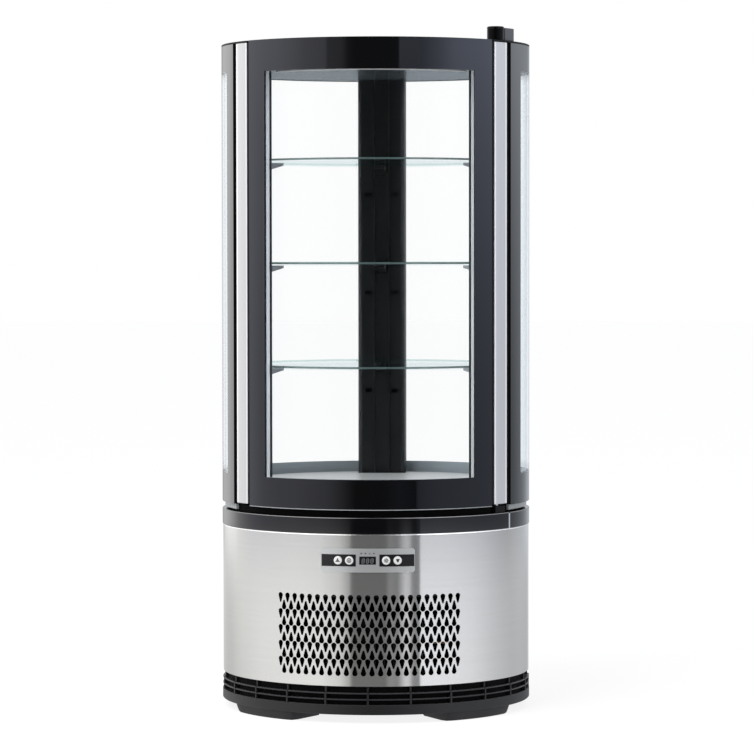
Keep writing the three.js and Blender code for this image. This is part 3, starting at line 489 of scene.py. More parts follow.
# A near-white copy of the satin profile for the door profiles' rounded edges: a painted highlight
satin_profile("profile_highlight", (0.95, 0.95, 0.95), 0.35)
metal("strip_aluminium", (0.62, 0.63, 0.65), 0.35)
metal("galvanised", (0.42, 0.43, 0.45), 0.5, grain=60.0, spread=0.2)
metal("copper_tube", (0.62, 0.32, 0.18), 0.3)
metal("fin_aluminium", (0.62, 0.64, 0.66), 0.4)
moulded("black_enamel", (0.012, 0.012, 0.013), 0.35, grain=300.0)
moulded("skirt_plastic", linear(19, 19, 20), 0.5, grain=700.0, specular=0.38)
# A lighter copy of the skirt plastic for the slats: a painted highlight on their fronts
moulded("slat_highlight_plastic", linear(38, 38, 41), 0.42, grain=700.0, specular=0.4)
# Near-black cloth behind the skirt's slots: painted shade for the dark machine space
moulded("slot_shade_cloth", linear(7, 7, 8), 0.85, grain=1500.0, bump=0.5, specular=0.1)
moulded("foot_plastic", linear(27, 27, 29), 0.62, grain=500.0, bump=0.25, specular=0.4)
moulded("dark_plastic", linear(30, 31, 34), 0.36, grain=800.0)
glossy_black("ring_plastic", (0.003, 0.003, 0.0035), 1.57, 0.05)
# A lighter, more reflective copy of the ring plastic for its rounded top edge: a painted highlight
glossy_black("ring_rim_highlight", (0.02, 0.02, 0.021), 2.6, 0.2)
moulded("column_plastic", linear(22, 24, 26), 0.4, grain=800.0, specular=0.35)
moulded("arm_plastic", linear(168, 173, 178), 0.4, grain=800.0)
glossy_black("cap_gloss", (0.003, 0.003, 0.003), 1.18, 0.06)
moulded("lid_black", linear(15, 15, 16), 0.5, grain=600.0, specular=0.12)
# Grey for the hinge cap's tail: a painted reflection of the bright surroundings on its side
moulded("tail_painted_sheen", linear(82, 84, 90), 0.45)
moulded("gasket_rubber", linear(26, 26, 28), 0.65, grain=600.0)
metal("spacer_pale", (0.96, 0.99, 0.99), 0.4)
moulded("spacer_grey", linear(90, 96, 100), 0.5, grain=500.0)
moulded("white_enamel", (0.92, 0.93, 0.93), 0.3, grain=300.0, spread=0.03, coat=0.2)
metal("silver_lacquer", linear(203, 205, 204), 0.26, metallic=0.5, grain=1600.0, spread=0.05)
moulded("display_gloss", linear(24, 25, 28), 0.14, bump=0.02)
moulded("digit_grey", linear(140, 142, 144), 0.4)
moulded("inlay_gloss", linear(24, 25, 28), 0.22, bump=0.03, specular=0.36)
moulded("button_white", (0.9, 0.9, 0.89), 0.25, grain=700.0, spread=0.03, bump=0.04)
moulded("icon_dark", linear(24, 25, 28), 0.5)
moulded("board_green", (0.02, 0.12, 0.06), 0.35, grain=500.0, spread=0.3)
moulded("diffuser", (0.85, 0.85, 0.83), 0.4, grain=400.0, spread=0.03)
clear_glass("pane_glass", (0.9985, 0.9995, 0.9995))
clear_glass("shelf_glass", (0.982, 0.991, 0.991), most=0.14)
glass_edge("pane_edge", linear(122, 126, 130), 0.85)
# Light grey ground glass for the side panes' feet; on the door's outer pane its lowest row is a painted
# highlight
glass_edge("foot_edge", linear(176, 180, 182), 0.9)
glass_edge("shelf_edge", linear(84, 104, 103), 0.85)
glass_edge("shelf_back", linear(120, 140, 138), 0.09)
glossy_black("border_black", (0.002, 0.002, 0.002), 1.7, 0.02)
moulded("border_back", linear(190, 201, 208), 0.5, spread=0.05)
moulded("seal_black", linear(12, 12, 13), 0.75, grain=600.0, specular=0.15)
# Near-black matte deck: painted shade for the deep recess of the neck between the ring and the glass
moulded("neck_painted_shade", linear(9, 9, 10), 0.85, grain=500.0, specular=0.08)
# The white ceiling panel given a dark, bluish colour: painted shade for its dim underside
half_mirror("ceiling_painted_shade", (0.05, 0.06, 0.065), (0.86, 0.95, 1.0), 0.36, 0.2)


# Base: feet, louvred skirt, steel casing and ring

def make_feet():
    """Four moulded pads, narrower at the floor than under the skirt."""
    outer, inner, corner, start, end = 238, 158, 12, 28.9, 63.9
    for label, side, front in (("front_left", -1, 1), ("front_right", 1, 1), ("rear_left", -1, -1),
                               ("rear_right", 1, -1)):
        rings = []
        for z, shrink in ((0, 5.5), (1.2, 4.2), (4, 3), (FOOT_TOP - 1, 0.4), (FOOT_TOP, 0.4)):
            side_deg = arc_degrees(shrink, outer)
            low, high = start + side_deg * 0.5, end - side_deg * 0.35
            reach, root = outer - shrink, inner + shrink
            curve = arc_degrees(corner, reach)
            outline = arc(reach, low + curve, high - curve, 2.5)
            outline += [polar(high - curve * 0.3, reach - corner * 0.16), polar(high, reach - corner)]
            outline += arc(root, high, low, 2.5)
            outline += [polar(low, reach - corner), polar(low + curve * 0.3, reach - corner * 0.16)]
            rings.append([(side * x, front * y, z) for x, y in outline])
        pad = Shape().loft(rings)
        place(f"foot_{label}_pad", pad, ["foot_plastic"], [f"foot_{label}"], sharp_deg=50)


def make_skirt():
    """Moulded skirt: a solid band below, then slats and ribs round dark air slots, and its collar."""
    ribs, rib_width, rib_edge = 23, 3, 0.5
    band_top, slats, slot_top, collar_top = 28.3, ((35, 37.2), (44.2, 46.4)), 55.4, 66
    shape = Shape()
    shape.ring([(COLLAR_INNER_R, SKIRT_BASE), (OUTER_R - 1, SKIRT_BASE), (OUTER_R, SKIRT_BASE + 1),
                (OUTER_R, band_top - 0.8), (OUTER_R - 0.8, band_top), (COLLAR_INNER_R, band_top)])
    # The slats get the lighter copy of the skirt plastic: a painted highlight
    for low, high in slats:
        shape.ring([(COLLAR_INNER_R, low), (OUTER_R - 1.2, low), (OUTER_R - 0.3, low + 0.6),
                    (OUTER_R - 0.3, high - 1), (OUTER_R - 1.4, high), (COLLAR_INNER_R, high)], 1)
    shape.ring(box_profile(COLLAR_INNER_R, COLLAR_R, slot_top, collar_top))
    step_z = slats[-1][1]
    lower = (band_top - 0.5, step_z + 0.2, OUTER_R - 0.1)
    upper = (step_z, slot_top + 0.3, COLLAR_R)
    for i in range(ribs):
        deg = i * (360 / ribs)
        for low, high, reach in (lower, upper):
            half, cut = arc_degrees(rib_width / 2, reach), arc_degrees(rib_edge, reach)
            shape.prism([polar(deg + turn, r) for turn, r in (
                (-half, COLLAR_INNER_R), (-half, reach - rib_edge), (cut - half, reach),
                (half - cut, reach), (half, reach - rib_edge), (half, COLLAR_INNER_R))], low, high)
    materials = ["skirt_plastic", "slat_highlight_plastic"]
    place("skirt_moulding", shape, materials, ["louvre_skirt"], sharp_deg=30)
    # A near-black cloth ring just inside the collar: painted shade for the dark machine space behind the air
    # slots
    screen_low, screen_high = SKIRT_BASE + 10.5, collar_top - 2
    screen = Shape().ring(box_profile(COLLAR_INNER_R - 0.7, COLLAR_INNER_R - 0.1, screen_low, screen_high))
    place("slot_shade_screen", screen, ["slot_shade_cloth"])


def drop_outline(upright, grow):
    """A drop of (across, up) points: a round head on one side of its centre, and a long tip on the other."""
    head, tip, blunt = 3.5 + grow, 10.3 + grow, 0.8 + grow
    head_steps, tip_steps = 12, 3
    lean = math.asin((head - blunt) / tip)
    points = []
    for i in range(head_steps + 1):
        turn = -lean + (math.pi + 2 * lean) * i / head_steps
        points.append((head * math.cos(turn), upright * head * math.sin(turn)))
    for i in range(tip_steps + 1):
        turn = math.pi + lean + (math.pi - 2 * lean) * i / tip_steps
        points.append((blunt * math.cos(turn), upright * (blunt * math.sin(turn) - tip + blunt)))
    return points


def casing_cutter():
    """The drop-shaped holes of the front casing, each a little wider at the outer face, and its window."""
    shape = Shape()
    first, pairs, pair_pitch, row_offset, pitch_deg = 190, 5, 24.1, 17.8, 3.1
    depths = ((CASING_CUT[0], 0.35), (CASING_R - 0.45, 0.35), (CASING_R + 0.5, 0.95))
    for pair in range(pairs):
        for upright, count, lower in ((1, 23, 0), (-1, 22, row_offset)):
            height = first - pair * pair_pitch - lower
            outlines = [[(a, u, r) for a, u in drop_outline(upright, grow)] for r, grow in depths]
            for i in range(count):
                deg = (i - (count - 1) / 2) * pitch_deg
                shape.loft([on_wall(outline, deg, height) for outline in outlines])
    window_deg, window_low, window_high = 15.2, 233, 259
    return shape.sweep(box_profile(*CASING_CUT, window_low, window_high), span(-window_deg, window_deg))


def make_casing():
    """Front and rear sheet, dark on the inside, each with a hem at its top edge that turns in a little. The
    hem gets a lighter copy of the steel: a painted highlight along the top edge.
    """
    joint = arc_degrees(0.15, CASING_R)
    low, high = CASING_Z
    hem = high - 1.5
    hem_profile = [(CASING_INNER_R, hem + 0.01), (CASING_R, hem + 0.01), (CASING_R - 0.35, high),
                   (CASING_INNER_R, high)]
    gland_hole = Shape().plug(circle(8.3, 24), CASING_CUT, 180, GLAND_Z)
    materials = ["brushed_steel", "steel_edge_highlight", "dark_steel"]
    for label, start, cutter in (("front", -90, casing_cutter()), ("rear", 90, gland_hole)):
        degs = span(start + joint, start + 180 - joint)
        sheet = Shape().sweep(box_profile(CASING_INNER_R, CASING_R, low, hem), degs)
        mesh = cut_out(to_mesh(sheet.sweep(hem_profile, degs, 1), materials), cutter)
        for face in mesh.polygons:
            if face.center.xy.length < (CASING_INNER_R + 0.2) * MM:
                face.material_index = materials.index("dark_steel")
        shade_as_wall(mesh, (CASING_R, CASING_INNER_R))
        hang(f"casing_{label}_sheet", mesh, [f"casing_{label}"])


def make_ring():
    """Glossy ring with rounded edges, and a groove for the strip over its joint. Its rounded top edge has a
    painted highlight.
    """
    low, high = RING_Z
    joint_deg, groove = 61.4, 1.2
    half_groove = arc_degrees(2.3, OUTER_R)
    shape = Shape()
    for outer, start, end, step in ((OUTER_R, half_groove, 360 - half_groove, STEP_DEG),
                                    (OUTER_R - groove, -half_groove, half_groove, 1)):
        outline = [(RING_LEDGE_R, low), (outer - 0.6, low), (outer, low + 0.6), (outer, low + 1),
                   (outer, high - 1.5), (outer, high - 1.1), (outer - 0.35, high - 0.35), (outer - 1.1, high),
                   (RING_INNER_R, high), (RING_INNER_R, low + 4), (RING_LEDGE_R, low + 4)]
        shape.sweep(outline, span(joint_deg + start, joint_deg + end, step), highlight_strips=(5, 6))
    place("ring_moulding", shape, ["ring_plastic", "ring_rim_highlight"], ["trim_ring"], sharp_deg=50)


def make_gland():
    """Cord gland in the rear sheet: a flanged bush with a rounded rim."""
    profile = ((4, -9.2), (8, -9.2), (8, 0.3), (11.4, 0.3), (12, 0.6), (12, 0.9), (11.2, 1.3), (4.6, 1.3),
               (4, 0.9))
    shape = Shape().loft([disc(r, 32, CASING_R + out, 180, GLAND_Z) for r, out in profile], closed=True)
    place("cord_gland_bush", shape, ["gasket_rubber"], ["cord_gland"])


# Glass: panes whose border is black at the outer face and pale behind, shelves, floor sheet and top

BEVEL = 1.1
PANE_STEP_Z = 200
PANE_MATERIALS = ["pane_glass", "border_black", "border_back", "pane_edge", "seal_black", "foot_edge"]
CLEAR, BLACK, PALE, EDGE, END, BEVEL_HIGHLIGHT = range(len(PANE_MATERIALS))


def pane(name, node, radii, degs, levels, bordered, body="cabinet"):
    """A curved pane: its two faces with the printed border, its ground edges and its sealed upright ends.

    degs and levels hold a break at each edge of the border. bordered says whether the border covers a point
    of the inner face (0) or the outer face (1). The row of the outer face as low as the bevel gets the light
    foot_edge colour: a painted highlight along the pane's lower edge.
    """
    count, rows = len(degs), len(levels)
    shape = Shape()
    shape.points = [(*polar(deg, r), z) for r in radii for z in levels for deg in degs]

    def add(mark, *corners):
        shape.faces.append([(face * rows + row) * count + column for face, row, column in corners])
        shape.marks.append(mark)

    for row in range(rows - 1):
        up = row + 1
        for column in range(count - 1):
            beside = column + 1
            middle = ((degs[column] + degs[beside]) / 2, (levels[row] + levels[up]) / 2)
            for face, mark in enumerate((PALE, BLACK)):
                # The lowest row of the outer face gets the light foot_edge colour: a painted highlight along
                # the bevel
                if face and levels[up] < levels[0] + BEVEL + 0.1:
                    mark = BEVEL_HIGHLIGHT
                elif not bordered(face, *middle):
                    mark = CLEAR
                add(mark, (face, row, column), (face, row, beside), (face, up, beside), (face, up, column))
        for column in (0, count - 1):
            add(END, (0, row, column), (0, up, column), (1, up, column), (1, row, column))
    for column in range(count - 1):
        for row in (0, rows - 1):
            add(EDGE, (0, row, column), (0, row, column + 1), (1, row, column + 1), (1, row, column))
    place(name, shape, PANE_MATERIALS, [node], body, sharp_deg=SHARP_DEG)


def unprinted(face, deg, z):
    return False


def make_door_panes():
    levels = with_breaks(NECK_TOP, GLASS_TOP, [NECK_TOP + BEVEL, BORDER_LOW, BORDER_HIGH], PANE_STEP_Z)
    starts = (DOOR_BORDER_DEG + 1, DOOR_BORDER_DEG)
    degs = with_breaks(-DOOR_EDGE_DEG, DOOR_EDGE_DEG, [-starts[0], -starts[1], starts[1], starts[0]])

    def bordered(face, deg, z):
        return abs(deg) > starts[face] or z < BORDER_LOW or z > BORDER_HIGH

    pane("door_outer_pane", "door_glass_outer", PANE_OUTER, degs, levels, bordered, "door")
    pane("door_inner_pane", "door_glass_inner", PANE_INNER, span(-DOOR_EDGE_DEG, DOOR_EDGE_DEG),
         span(DOOR_BASE, PANEL_TOP, PANE_STEP_Z), unprinted, "door")


def make_side_panes():
    """The side panes, and the clear foot that each outer one stands on."""
    levels = with_breaks(SIDE_GLASS_BASE, PANEL_TOP, [BORDER_LOW, REAR_BORDER_HIGH], PANE_STEP_Z)
    foot_r, foot_z = (231.5, 235.5), (RING_Z[1] + 3, SIDE_GLASS_BASE + 2)
    for label, side in SIDES:
        front_deg = SIDE_BORDER_DEG[label]

        def bordered(face, deg, z):
            return not (front_deg < abs(deg) < REAR_BORDER_DEG and BORDER_LOW < z < REAR_BORDER_HIGH)

        degs = [side * d for d in with_breaks(PANEL_START_DEG, PANEL_END_DEG, [front_deg, REAR_BORDER_DEG])]
        pane(f"side_outer_pane_{label}", f"side_glass_outer_{label}", PANE_OUTER, degs, levels, bordered)
        pane(f"side_inner_pane_{label}", f"side_glass_inner_{label}", PANE_INNER, degs, levels, unprinted)
        foot_degs = span(side * (PANEL_START_DEG + 0.4), side * PANEL_END_DEG)
        foot = Shape().sweep(box_profile(*foot_r, *foot_z, 0.4), foot_degs)
        place(f"side_pane_foot_{label}", foot, ["foot_edge"])


def make_shelves():
    """Glass shelves, cut back round the column. The front edge is coloured over its upper part."""
    notch, notch_front, edge, clear_z = 40, 167.7, 0.7, 1.9
    notch_deg = math.degrees(math.asin(notch / SHELF_R))
    materials = ["shelf_glass", "shelf_edge", "shelf_back"]
    for label, base in zip(("lower", "middle", "upper"), SHELF_BASES):
        rings = []
        for z, shrink in ((0, edge), (edge, 0), (clear_z, 0), (SHELF_THICKNESS - edge, 0),
                          (SHELF_THICKNESS, edge)):
            outline = arc(SHELF_R - shrink, notch_deg - 180, 180 - notch_deg)
            outline += [(notch + shrink, notch_front - shrink), (-notch - shrink, notch_front - shrink)]
            rings.append([(x, y, base + z) for x, y in outline])
        shape = Shape().loft(rings)
        for i, face in enumerate(shape.faces):
            if len(face) == 4 and i >= 2 * len(outline):
                behind = sum(shape.points[p][1] for p in face) > 0
                shape.marks[i] = 2 if behind else 1
        place(f"shelf_{label}_glass", shape, materials, [f"shelf_{label}"])


def make_floor_panel():
    """White floor sheet, cut back behind the door and round the duct."""
    half, front_y, front_deg = 38.3, 169.4, 61.5
    notch_deg = math.degrees(math.asin(half / DRUM_R))
    outline = arc(SILL_R, -front_deg, front_deg) + arc(DRUM_R, front_deg, 180 - notch_deg)
    outline += [(half, front_y), (-half, front_y)] + arc(DRUM_R, 180 + notch_deg, 360 - front_deg)
    sheet = Shape().prism(outline, *FLOOR_Z)
    place("floor_sheet", sheet, ["white_enamel"], ["floor_panel"], rounding=0.5)


def make_top():
    """Thin lid over the glass: set back over the door, with rounded edges and a hole for the hinge pin."""
    front_r, front_deg, hole_r = 235.4, 51.3, 4.3
    outline = arc(front_r, -front_deg, front_deg) + arc(OUTER_R - 0.05, front_deg, 360 - front_deg)
    lid = to_mesh(Shape().prism(outline, LIP_BASE, GLASS_TOP), ["lid_black"])
    pin_hole = Shape().prism(circle(hole_r, 24, polar(HINGE_DEG, PIVOT_R)), LIP_BASE - 2, GLASS_TOP + 2)
    hang("lid_plate", cut_out(lid, pin_hole), ["top_plate"], rounding=0.5)


# Door surround: spacer frame, edge profiles and the hinge cap

def make_door_frame():
    """Black frame between the panes, with pale spacer strips at each side and lips by the edge profiles."""
    inner, outer, rail, seal_deg, strip_end = 220.3, 235.7, 14, 51.7, 45.25
    whole, between = (DOOR_BASE, PANEL_TOP), (DOOR_BASE + rail, PANEL_TOP - rail)
    shape = Shape()
    for low, high in ((DOOR_BASE, DOOR_BASE + rail), (PANEL_TOP - rail, PANEL_TOP)):
        shape.sweep(box_profile(inner, outer, low, high), span(-seal_deg, seal_deg))
    # Uprights: radii, levels, cut edges, angles, step and material
    uprights = (((inner, outer), between, 0, (strip_end, seal_deg), STEP_DEG, 0),
                ((222.2, 228.4), between, 0.6, (43.55, strip_end), 0.9, 1),
                ((215.2, 215.9), between, 0.2, (44.05, 45.35), 0.65, 2),
                ((216.2, 239), whole, 0.5, (DOOR_EDGE_DEG + 0.1, seal_deg), 0.5, 0))
    for side in (-1, 1):
        for radii, levels, edge, (start, end), step, mark in uprights:
            shape.sweep(box_profile(*radii, *levels, edge), span(side * start, side * end, step), mark)
    materials = ["seal_black", "spacer_pale", "spacer_grey"]
    place("door_frame_moulding", shape, materials, ["door_frame"], "door")


def make_door_trims():
    """Edge profiles with rounded outer edges in a lighter copy of the satin metal: a painted highlight."""
    start, end = TRIM_DEG
    inner, outer, width = 216.3, OUTER_R, 12
    cut = arc_degrees(1.9, outer)
    mid = [(deg, outer) for deg in span(start + cut, end - cut, 1)[1:-1]]
    profile = [(start, outer - 1.6), (start + cut * 0.35, outer - 0.5), (start + cut, outer)] + mid
    profile += [(end - cut, outer), (end - cut * 0.35, outer - 0.5), (end, outer - 1.6)]
    profile += [(deg, inner) for deg in span(end, start, 1)]
    highlight_strips = (0, 1, 2 + len(mid), 3 + len(mid))
    for label, side in SIDES:
        middle = polar(side * (start + end) / 2, (inner + outer) / 2)
        rings = []
        for z, shrink in ((DOOR_BASE, 0.5), (DOOR_BASE + 0.5, 0), (PANEL_TOP - 0.5, 0), (PANEL_TOP, 0.5)):
            share = 1 - shrink / width
            rings.append([(*(m + (c - m) * share for c, m in zip(polar(side * deg, r), middle)), z)
                          for deg, r in profile])
        shape = Shape().loft(rings, highlight_strips=highlight_strips)
        place(f"door_trim_{label}_profile", shape, ["satin_profile", "profile_highlight"],
              [f"door_trim_{label}"], "door", sharp_deg=38)


def make_hinge_cap():
    """Round hinge cap with a lid line, and the tail that holds it to the side glass."""
    low, high = CAP_Z
    centre = polar(HINGE_DEG, PIVOT_R)
    radius, line = 13, high - 4.6
    profile = ((radius - 0.6, low), (radius, low + 0.6), (radius, line - 0.35), (radius - 0.5, line - 0.2),
               (radius - 0.5, line + 0.2), (radius, line + 0.35), (radius, high - 1.6),
               (radius - 0.45, high - 0.6), (radius - 1.6, high))
    barrel = Shape().loft([[(x, y, z) for x, y in circle(r, 48, centre)] for r, z in profile])
    place("hinge_cap_barrel", barrel, ["cap_gloss"], ["hinge_cap"], sharp_deg=25)

    # The tail's grey colour is a painted reflection of the bright surroundings
    tail_r, tail_end = (219, 237), 66.4
    tail_degs = span(HINGE_DEG + arc_degrees(radius - 1, PIVOT_R), tail_end, 1)
    tail = Shape().sweep(box_profile(*tail_r, low, high - 1.5), tail_degs)
    place("hinge_cap_tail", tail, ["tail_painted_sheen"], rounding=0.9)


# Controls: fascia with its dark inlays, display, and four round buttons with plain pictograms

FASCIA_Z = 246
FASCIA_R = (239.3, 240.1)
FASCIA_CUT = (FASCIA_R[0] - 2, FASCIA_R[1] + 2)
BUTTON_DEGS = (("left_outer", -10.8), ("left_inner", -6.65), ("right_inner", 6.65), ("right_outer", 10.8))
INLAY_DEG = (4.15, 16.95)
INLAY_HEIGHT = 18.5
INLAY_R = (239.45, 239.8)
MARK_PITCH = 6.4
MARK_RISE = 10.7


def about_fascia(half_height):
    return FASCIA_Z - half_height, FASCIA_Z + half_height


def fascia_cutter(half_deg, half_height):
    """What is taken out of the plate: two shallow recesses, its four corners and the display hole."""
    corner, hole_deg, hole_half = 3.6, 3, 6.1
    shape = Shape()
    half_width = math.radians(half_deg) * OUTER_R
    for side in (-1, 1):
        recess = box_profile(INLAY_R[0], FASCIA_CUT[1], *about_fascia(INLAY_HEIGHT / 2))
        shape.sweep(recess, span(side * INLAY_DEG[0], side * INLAY_DEG[1], 1))
        for up in (-1, 1):
            triangle = [(side * (half_width - corner), up * (half_height + 1)),
                        (side * (half_width + 1), up * (half_height + 1)),
                        (side * (half_width + 1), up * (half_height - corner))]
            shape.loft([[(*polar(arc_degrees(a, OUTER_R), r), FASCIA_Z + u) for a, u in triangle]
                        for r in FASCIA_CUT])
    return shape.sweep(box_profile(*FASCIA_CUT, *about_fascia(hole_half)), span(-hole_deg, hole_deg, 1))


def cut_button_holes(mesh, radius, degs):
    for deg in degs:
        mesh = cut_out(mesh, Shape().plug(circle(radius, 40), FASCIA_CUT, deg, FASCIA_Z))
    return mesh


def make_fascia():
    """Silver plate with cut corners, and the two dark key areas in its recesses."""
    half_deg, half_height = 17.1, 18
    plate = Shape().sweep(box_profile(*FASCIA_R, *about_fascia(half_height)), span(-half_deg, half_deg, 1))
    mesh = cut_out(to_mesh(plate, ["silver_lacquer"]), fascia_cutter(half_deg, half_height))
    mesh = cut_button_holes(mesh, 6.6, [deg for label, deg in BUTTON_DEGS])
    hang("control_fascia", mesh, ["control_plate"], rounding=0.2)

    inlay_z = about_fascia(INLAY_HEIGHT / 2 - 0.35)
    for label, side in SIDES:
        degs = span(side * (INLAY_DEG[0] + 0.1), side * (INLAY_DEG[1] - 0.1), 1)
        mesh = to_mesh(Shape().sweep(box_profile(*INLAY_R, *inlay_z), degs), ["inlay_gloss"])
        mesh = cut_button_holes(mesh, 6.65, [deg for name, deg in BUTTON_DEGS if deg * side > 0])
        hang(f"control_inlay_{label}", mesh, sharp_deg=30)


def bar(a, b, width):
    """A straight bar between two points, as an outline."""
    dx, dy = b[0] - a[0], b[1] - a[1]
    length = math.hypot(dx, dy)
    nx, ny = -dy / length * width / 2, dx / length * width / 2
    return [(a[0] + nx, a[1] + ny), (a[0] - nx, a[1] - ny), (b[0] - nx, b[1] - ny), (b[0] + nx, b[1] + ny)]


def hoop(radius, width):
    """Bars that follow a circle."""
    ends = circle(radius, 15)
    return [bar(a, b, width) for a, b in zip(ends, ends[1:] + ends[:1])]


def pictograms():
    """The four plain pictograms, each a list of outlines (across, up)."""
    dome = [[(2.3 * math.cos(t), 2.3 * math.sin(t) - 0.9) for t in map(math.radians, span(0, 180, 30))]]
    dome += [bar((-3.3, -1.8), (3.3, -1.8), 1.2), bar((0, 1.3), (0, 3), 1.5)]
    flame = hoop(3, 1.2) + [[(-1.2, -1.6), (1.2, -1.6), (1.4, -0.4), (0, 2), (-1.4, -0.4)]]
    rays = hoop(1.3, 1.1)
    for turn in span(0, 315, 45):
        c, s = math.cos(math.radians(turn)), math.sin(math.radians(turn))
        rays.append(bar((2.1 * c, 2.1 * s), (3.6 * c, 3.6 * s), 1.2))
    funnel = [[(-3, 2.3), (-0.9, -2.5), (0.9, -2.5), (3, 2.3)]]
    return {"left_outer": dome, "left_inner": flame, "right_inner": rays, "right_outer": funnel}


def make_buttons():
    """Round white buttons with a domed face, and the dark pictogram on each."""
    drawings = pictograms()
    materials = ["button_white", "icon_dark"]
    radius, back, front = 6.3, 232.8, 241.2
    profile = [(radius, back), (radius, front - 1.1), (radius - 0.2, front - 0.55),
               (radius - 0.7, front - 0.2), (radius - 1.7, front - 0.05), (3, front)]
    for label, deg in BUTTON_DEGS:
        shape = Shape().loft([disc(reach, 40, r, deg, FASCIA_Z) for reach, r in profile])
        for outline in drawings[label]:
            shape.plug(outline, (front - 0.15, front + 0.06), deg, FASCIA_Z, 1)
        place(f"button_{label}_knob", shape, materials, [f"button_{label}"],
              f"button_{label}_cap", sharp_deg=50)


def segments(width, height, thick, lean=0.12):
    """The seven bars of a digit's figure eight, as outlines leaning a little to the right."""
    half, gap = thick / 2, thick * 0.62
    side, top = width / 2 - gap, height / 2
    low, high = gap * 0.4, top - gap * 0.4
    level = [(-side, 0), (half - side, half), (side - half, half), (side, 0), (side - half, -half),
             (half - side, -half)]
    upright = [(0, low), (half, low + half), (half, high - half), (0, high), (-half, high - half),
               (-half, low + half)]
    bars = [[(a, b + up) for a, b in level] for up in (-top, 0, top)]
    bars += [[(a + across, b + up) for a, b in upright]
             for across in (-width / 2, width / 2) for up in (-top, 0)]
    return [[(a + lean * b, b) for a, b in outline] for outline in bars]


def make_display():
    """Smoked window with three unlit digits and a row of small marks over them."""
    half_deg, front, back = 2.85, 240.28, 225.2
    low, high = about_fascia(5.8)
    profile = box_profile(FASCIA_R[0] - 1, front, low, high, 0.25)
    shape = Shape().sweep(profile, span(-half_deg, half_deg, 0.5))
    side = FASCIA_R[0] * math.sin(math.radians(half_deg)) - 0.1
    near, far = -FASCIA_R[0] + 0.6, -back
    shape.prism([(-side, near), (side, near), (side, far), (-side, far)], low, high)
    digit_pitch, digit_size, bar_width, digit_z = 6.6, (3.6, 6.6), 0.85, FASCIA_Z - 0.6
    for i in (-1, 0, 1):
        for outline in segments(*digit_size, bar_width):
            shape.loft([[(*polar(math.degrees((i * digit_pitch + a) / front), r), digit_z + u)
                         for a, u in outline] for r in (front - 0.1, front + 0.01)], 1)
    dot = circle(1.1, 10)
    square = [(-1.2, -0.9), (1.2, -0.9), (1.2, 0.9), (-1.2, 0.9)]
    arrow = [(-1.2, -1), (1.2, -1), (0, 1.2)]
    for i, outline in enumerate((dot, square, arrow, dot)):
        moved = [((i - 1.5) * MARK_PITCH + a, u) for a, u in outline]
        shape.plug(moved, (FASCIA_R[1] - 0.1, FASCIA_R[1] + 0.02), 0, FASCIA_Z + MARK_RISE, 2)
    materials = ["display_gloss", "digit_grey", "icon_dark"]
    place("display_window_glass", shape, materials, ["display_window"], sharp_deg=SHARP_DEG)


# Looks of the nodes that keep their CAD shape: each material's nodes, and how far their edges are rounded

KEPT = (
    ("galvanised", {"base_tray": 0.4, "condenser_fan_frame": 0.3, "evaporator_fan_frame": 0.3}),
    ("black_enamel", {"compressor": 1.5, "condenser_coil": 0}),
    ("copper_tube", {"discharge_pipe": 0, "suction_pipe": 0}),
    ("fin_aluminium", {"evaporator_coil": 0}),
    ("dark_plastic", {"condenser_fan_rotor": 0.2, "evaporator_fan_rotor": 0.2, "drain_pan": 0.4,
                    "evaporator_tub": 1, "side_spacer_left": 0.4, "side_spacer_right": 0.4,
                    "rear_joint_strip": 0.6, "control_housing": 0.4}),
    ("column_plastic", {"post_left": 0.5, "post_right": 0.5, "air_duct": 0.4, "shelf_rail": 0.25}),
    # The deck's near-black colour is painted shade for the recess of the neck
    ("neck_painted_shade", {"insulated_deck": 0.8}),
    ("gasket_rubber", {"door_gasket": 0.8}),
    ("seal_black", {"hinge_bracket": 0.6}),
    ("pin_steel", {"hinge_pin_top": 0.5, "hinge_pin_bottom": 0.5}),
    ("strip_aluminium", {"ring_joint_strip": 0.3}),
    # The ceiling panel's dark colour is painted shade
    ("ceiling_painted_shade", {"ceiling_panel": 0.8}),
    ("diffuser", {"light_bar": 0.5}),
    ("board_green", {"control_board": 0.2}),
)
# Faces of the posts nearer the axis than this belong to the shelf arms
ARM_REACH = 205
# Shading that comes with an imported node, and would spoil its softened edges
IMPORT_LEFTOVERS = ("custom_normal", "sharp_edge", "sharp_face")
WELD_GAP = 0.01
SPLIT_DEG = 32


def dress(name, material, rounding):
    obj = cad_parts[name]
    mesh = obj.data
    give(mesh, [material, "arm_plastic"] if name.startswith("post") else [material])
    if name.startswith("post"):
        for face in mesh.polygons:
            face.material_index = int(face.center.xy.length < ARM_REACH * MM)
    for leftover in IMPORT_LEFTOVERS:
        attribute = mesh.attributes.get(leftover)
        if attribute:
            mesh.attributes.remove(attribute)
    mesh.shade_smooth()
    weld = obj.modifiers.new("weld", "WELD")
    weld.merge_threshold = WELD_GAP * MM
    if rounding:
        round_edges(obj, rounding)
    else:
        edges = obj.modifiers.new("edges", "EDGE_SPLIT")
        edges.split_angle = math.radians(SPLIT_DEG)


def dress_kept_nodes():
    for material, nodes in KEPT:
        for name, rounding in nodes.items():
            dress(name, material, rounding)


# Stage: floor, surroundings, lamp and camera

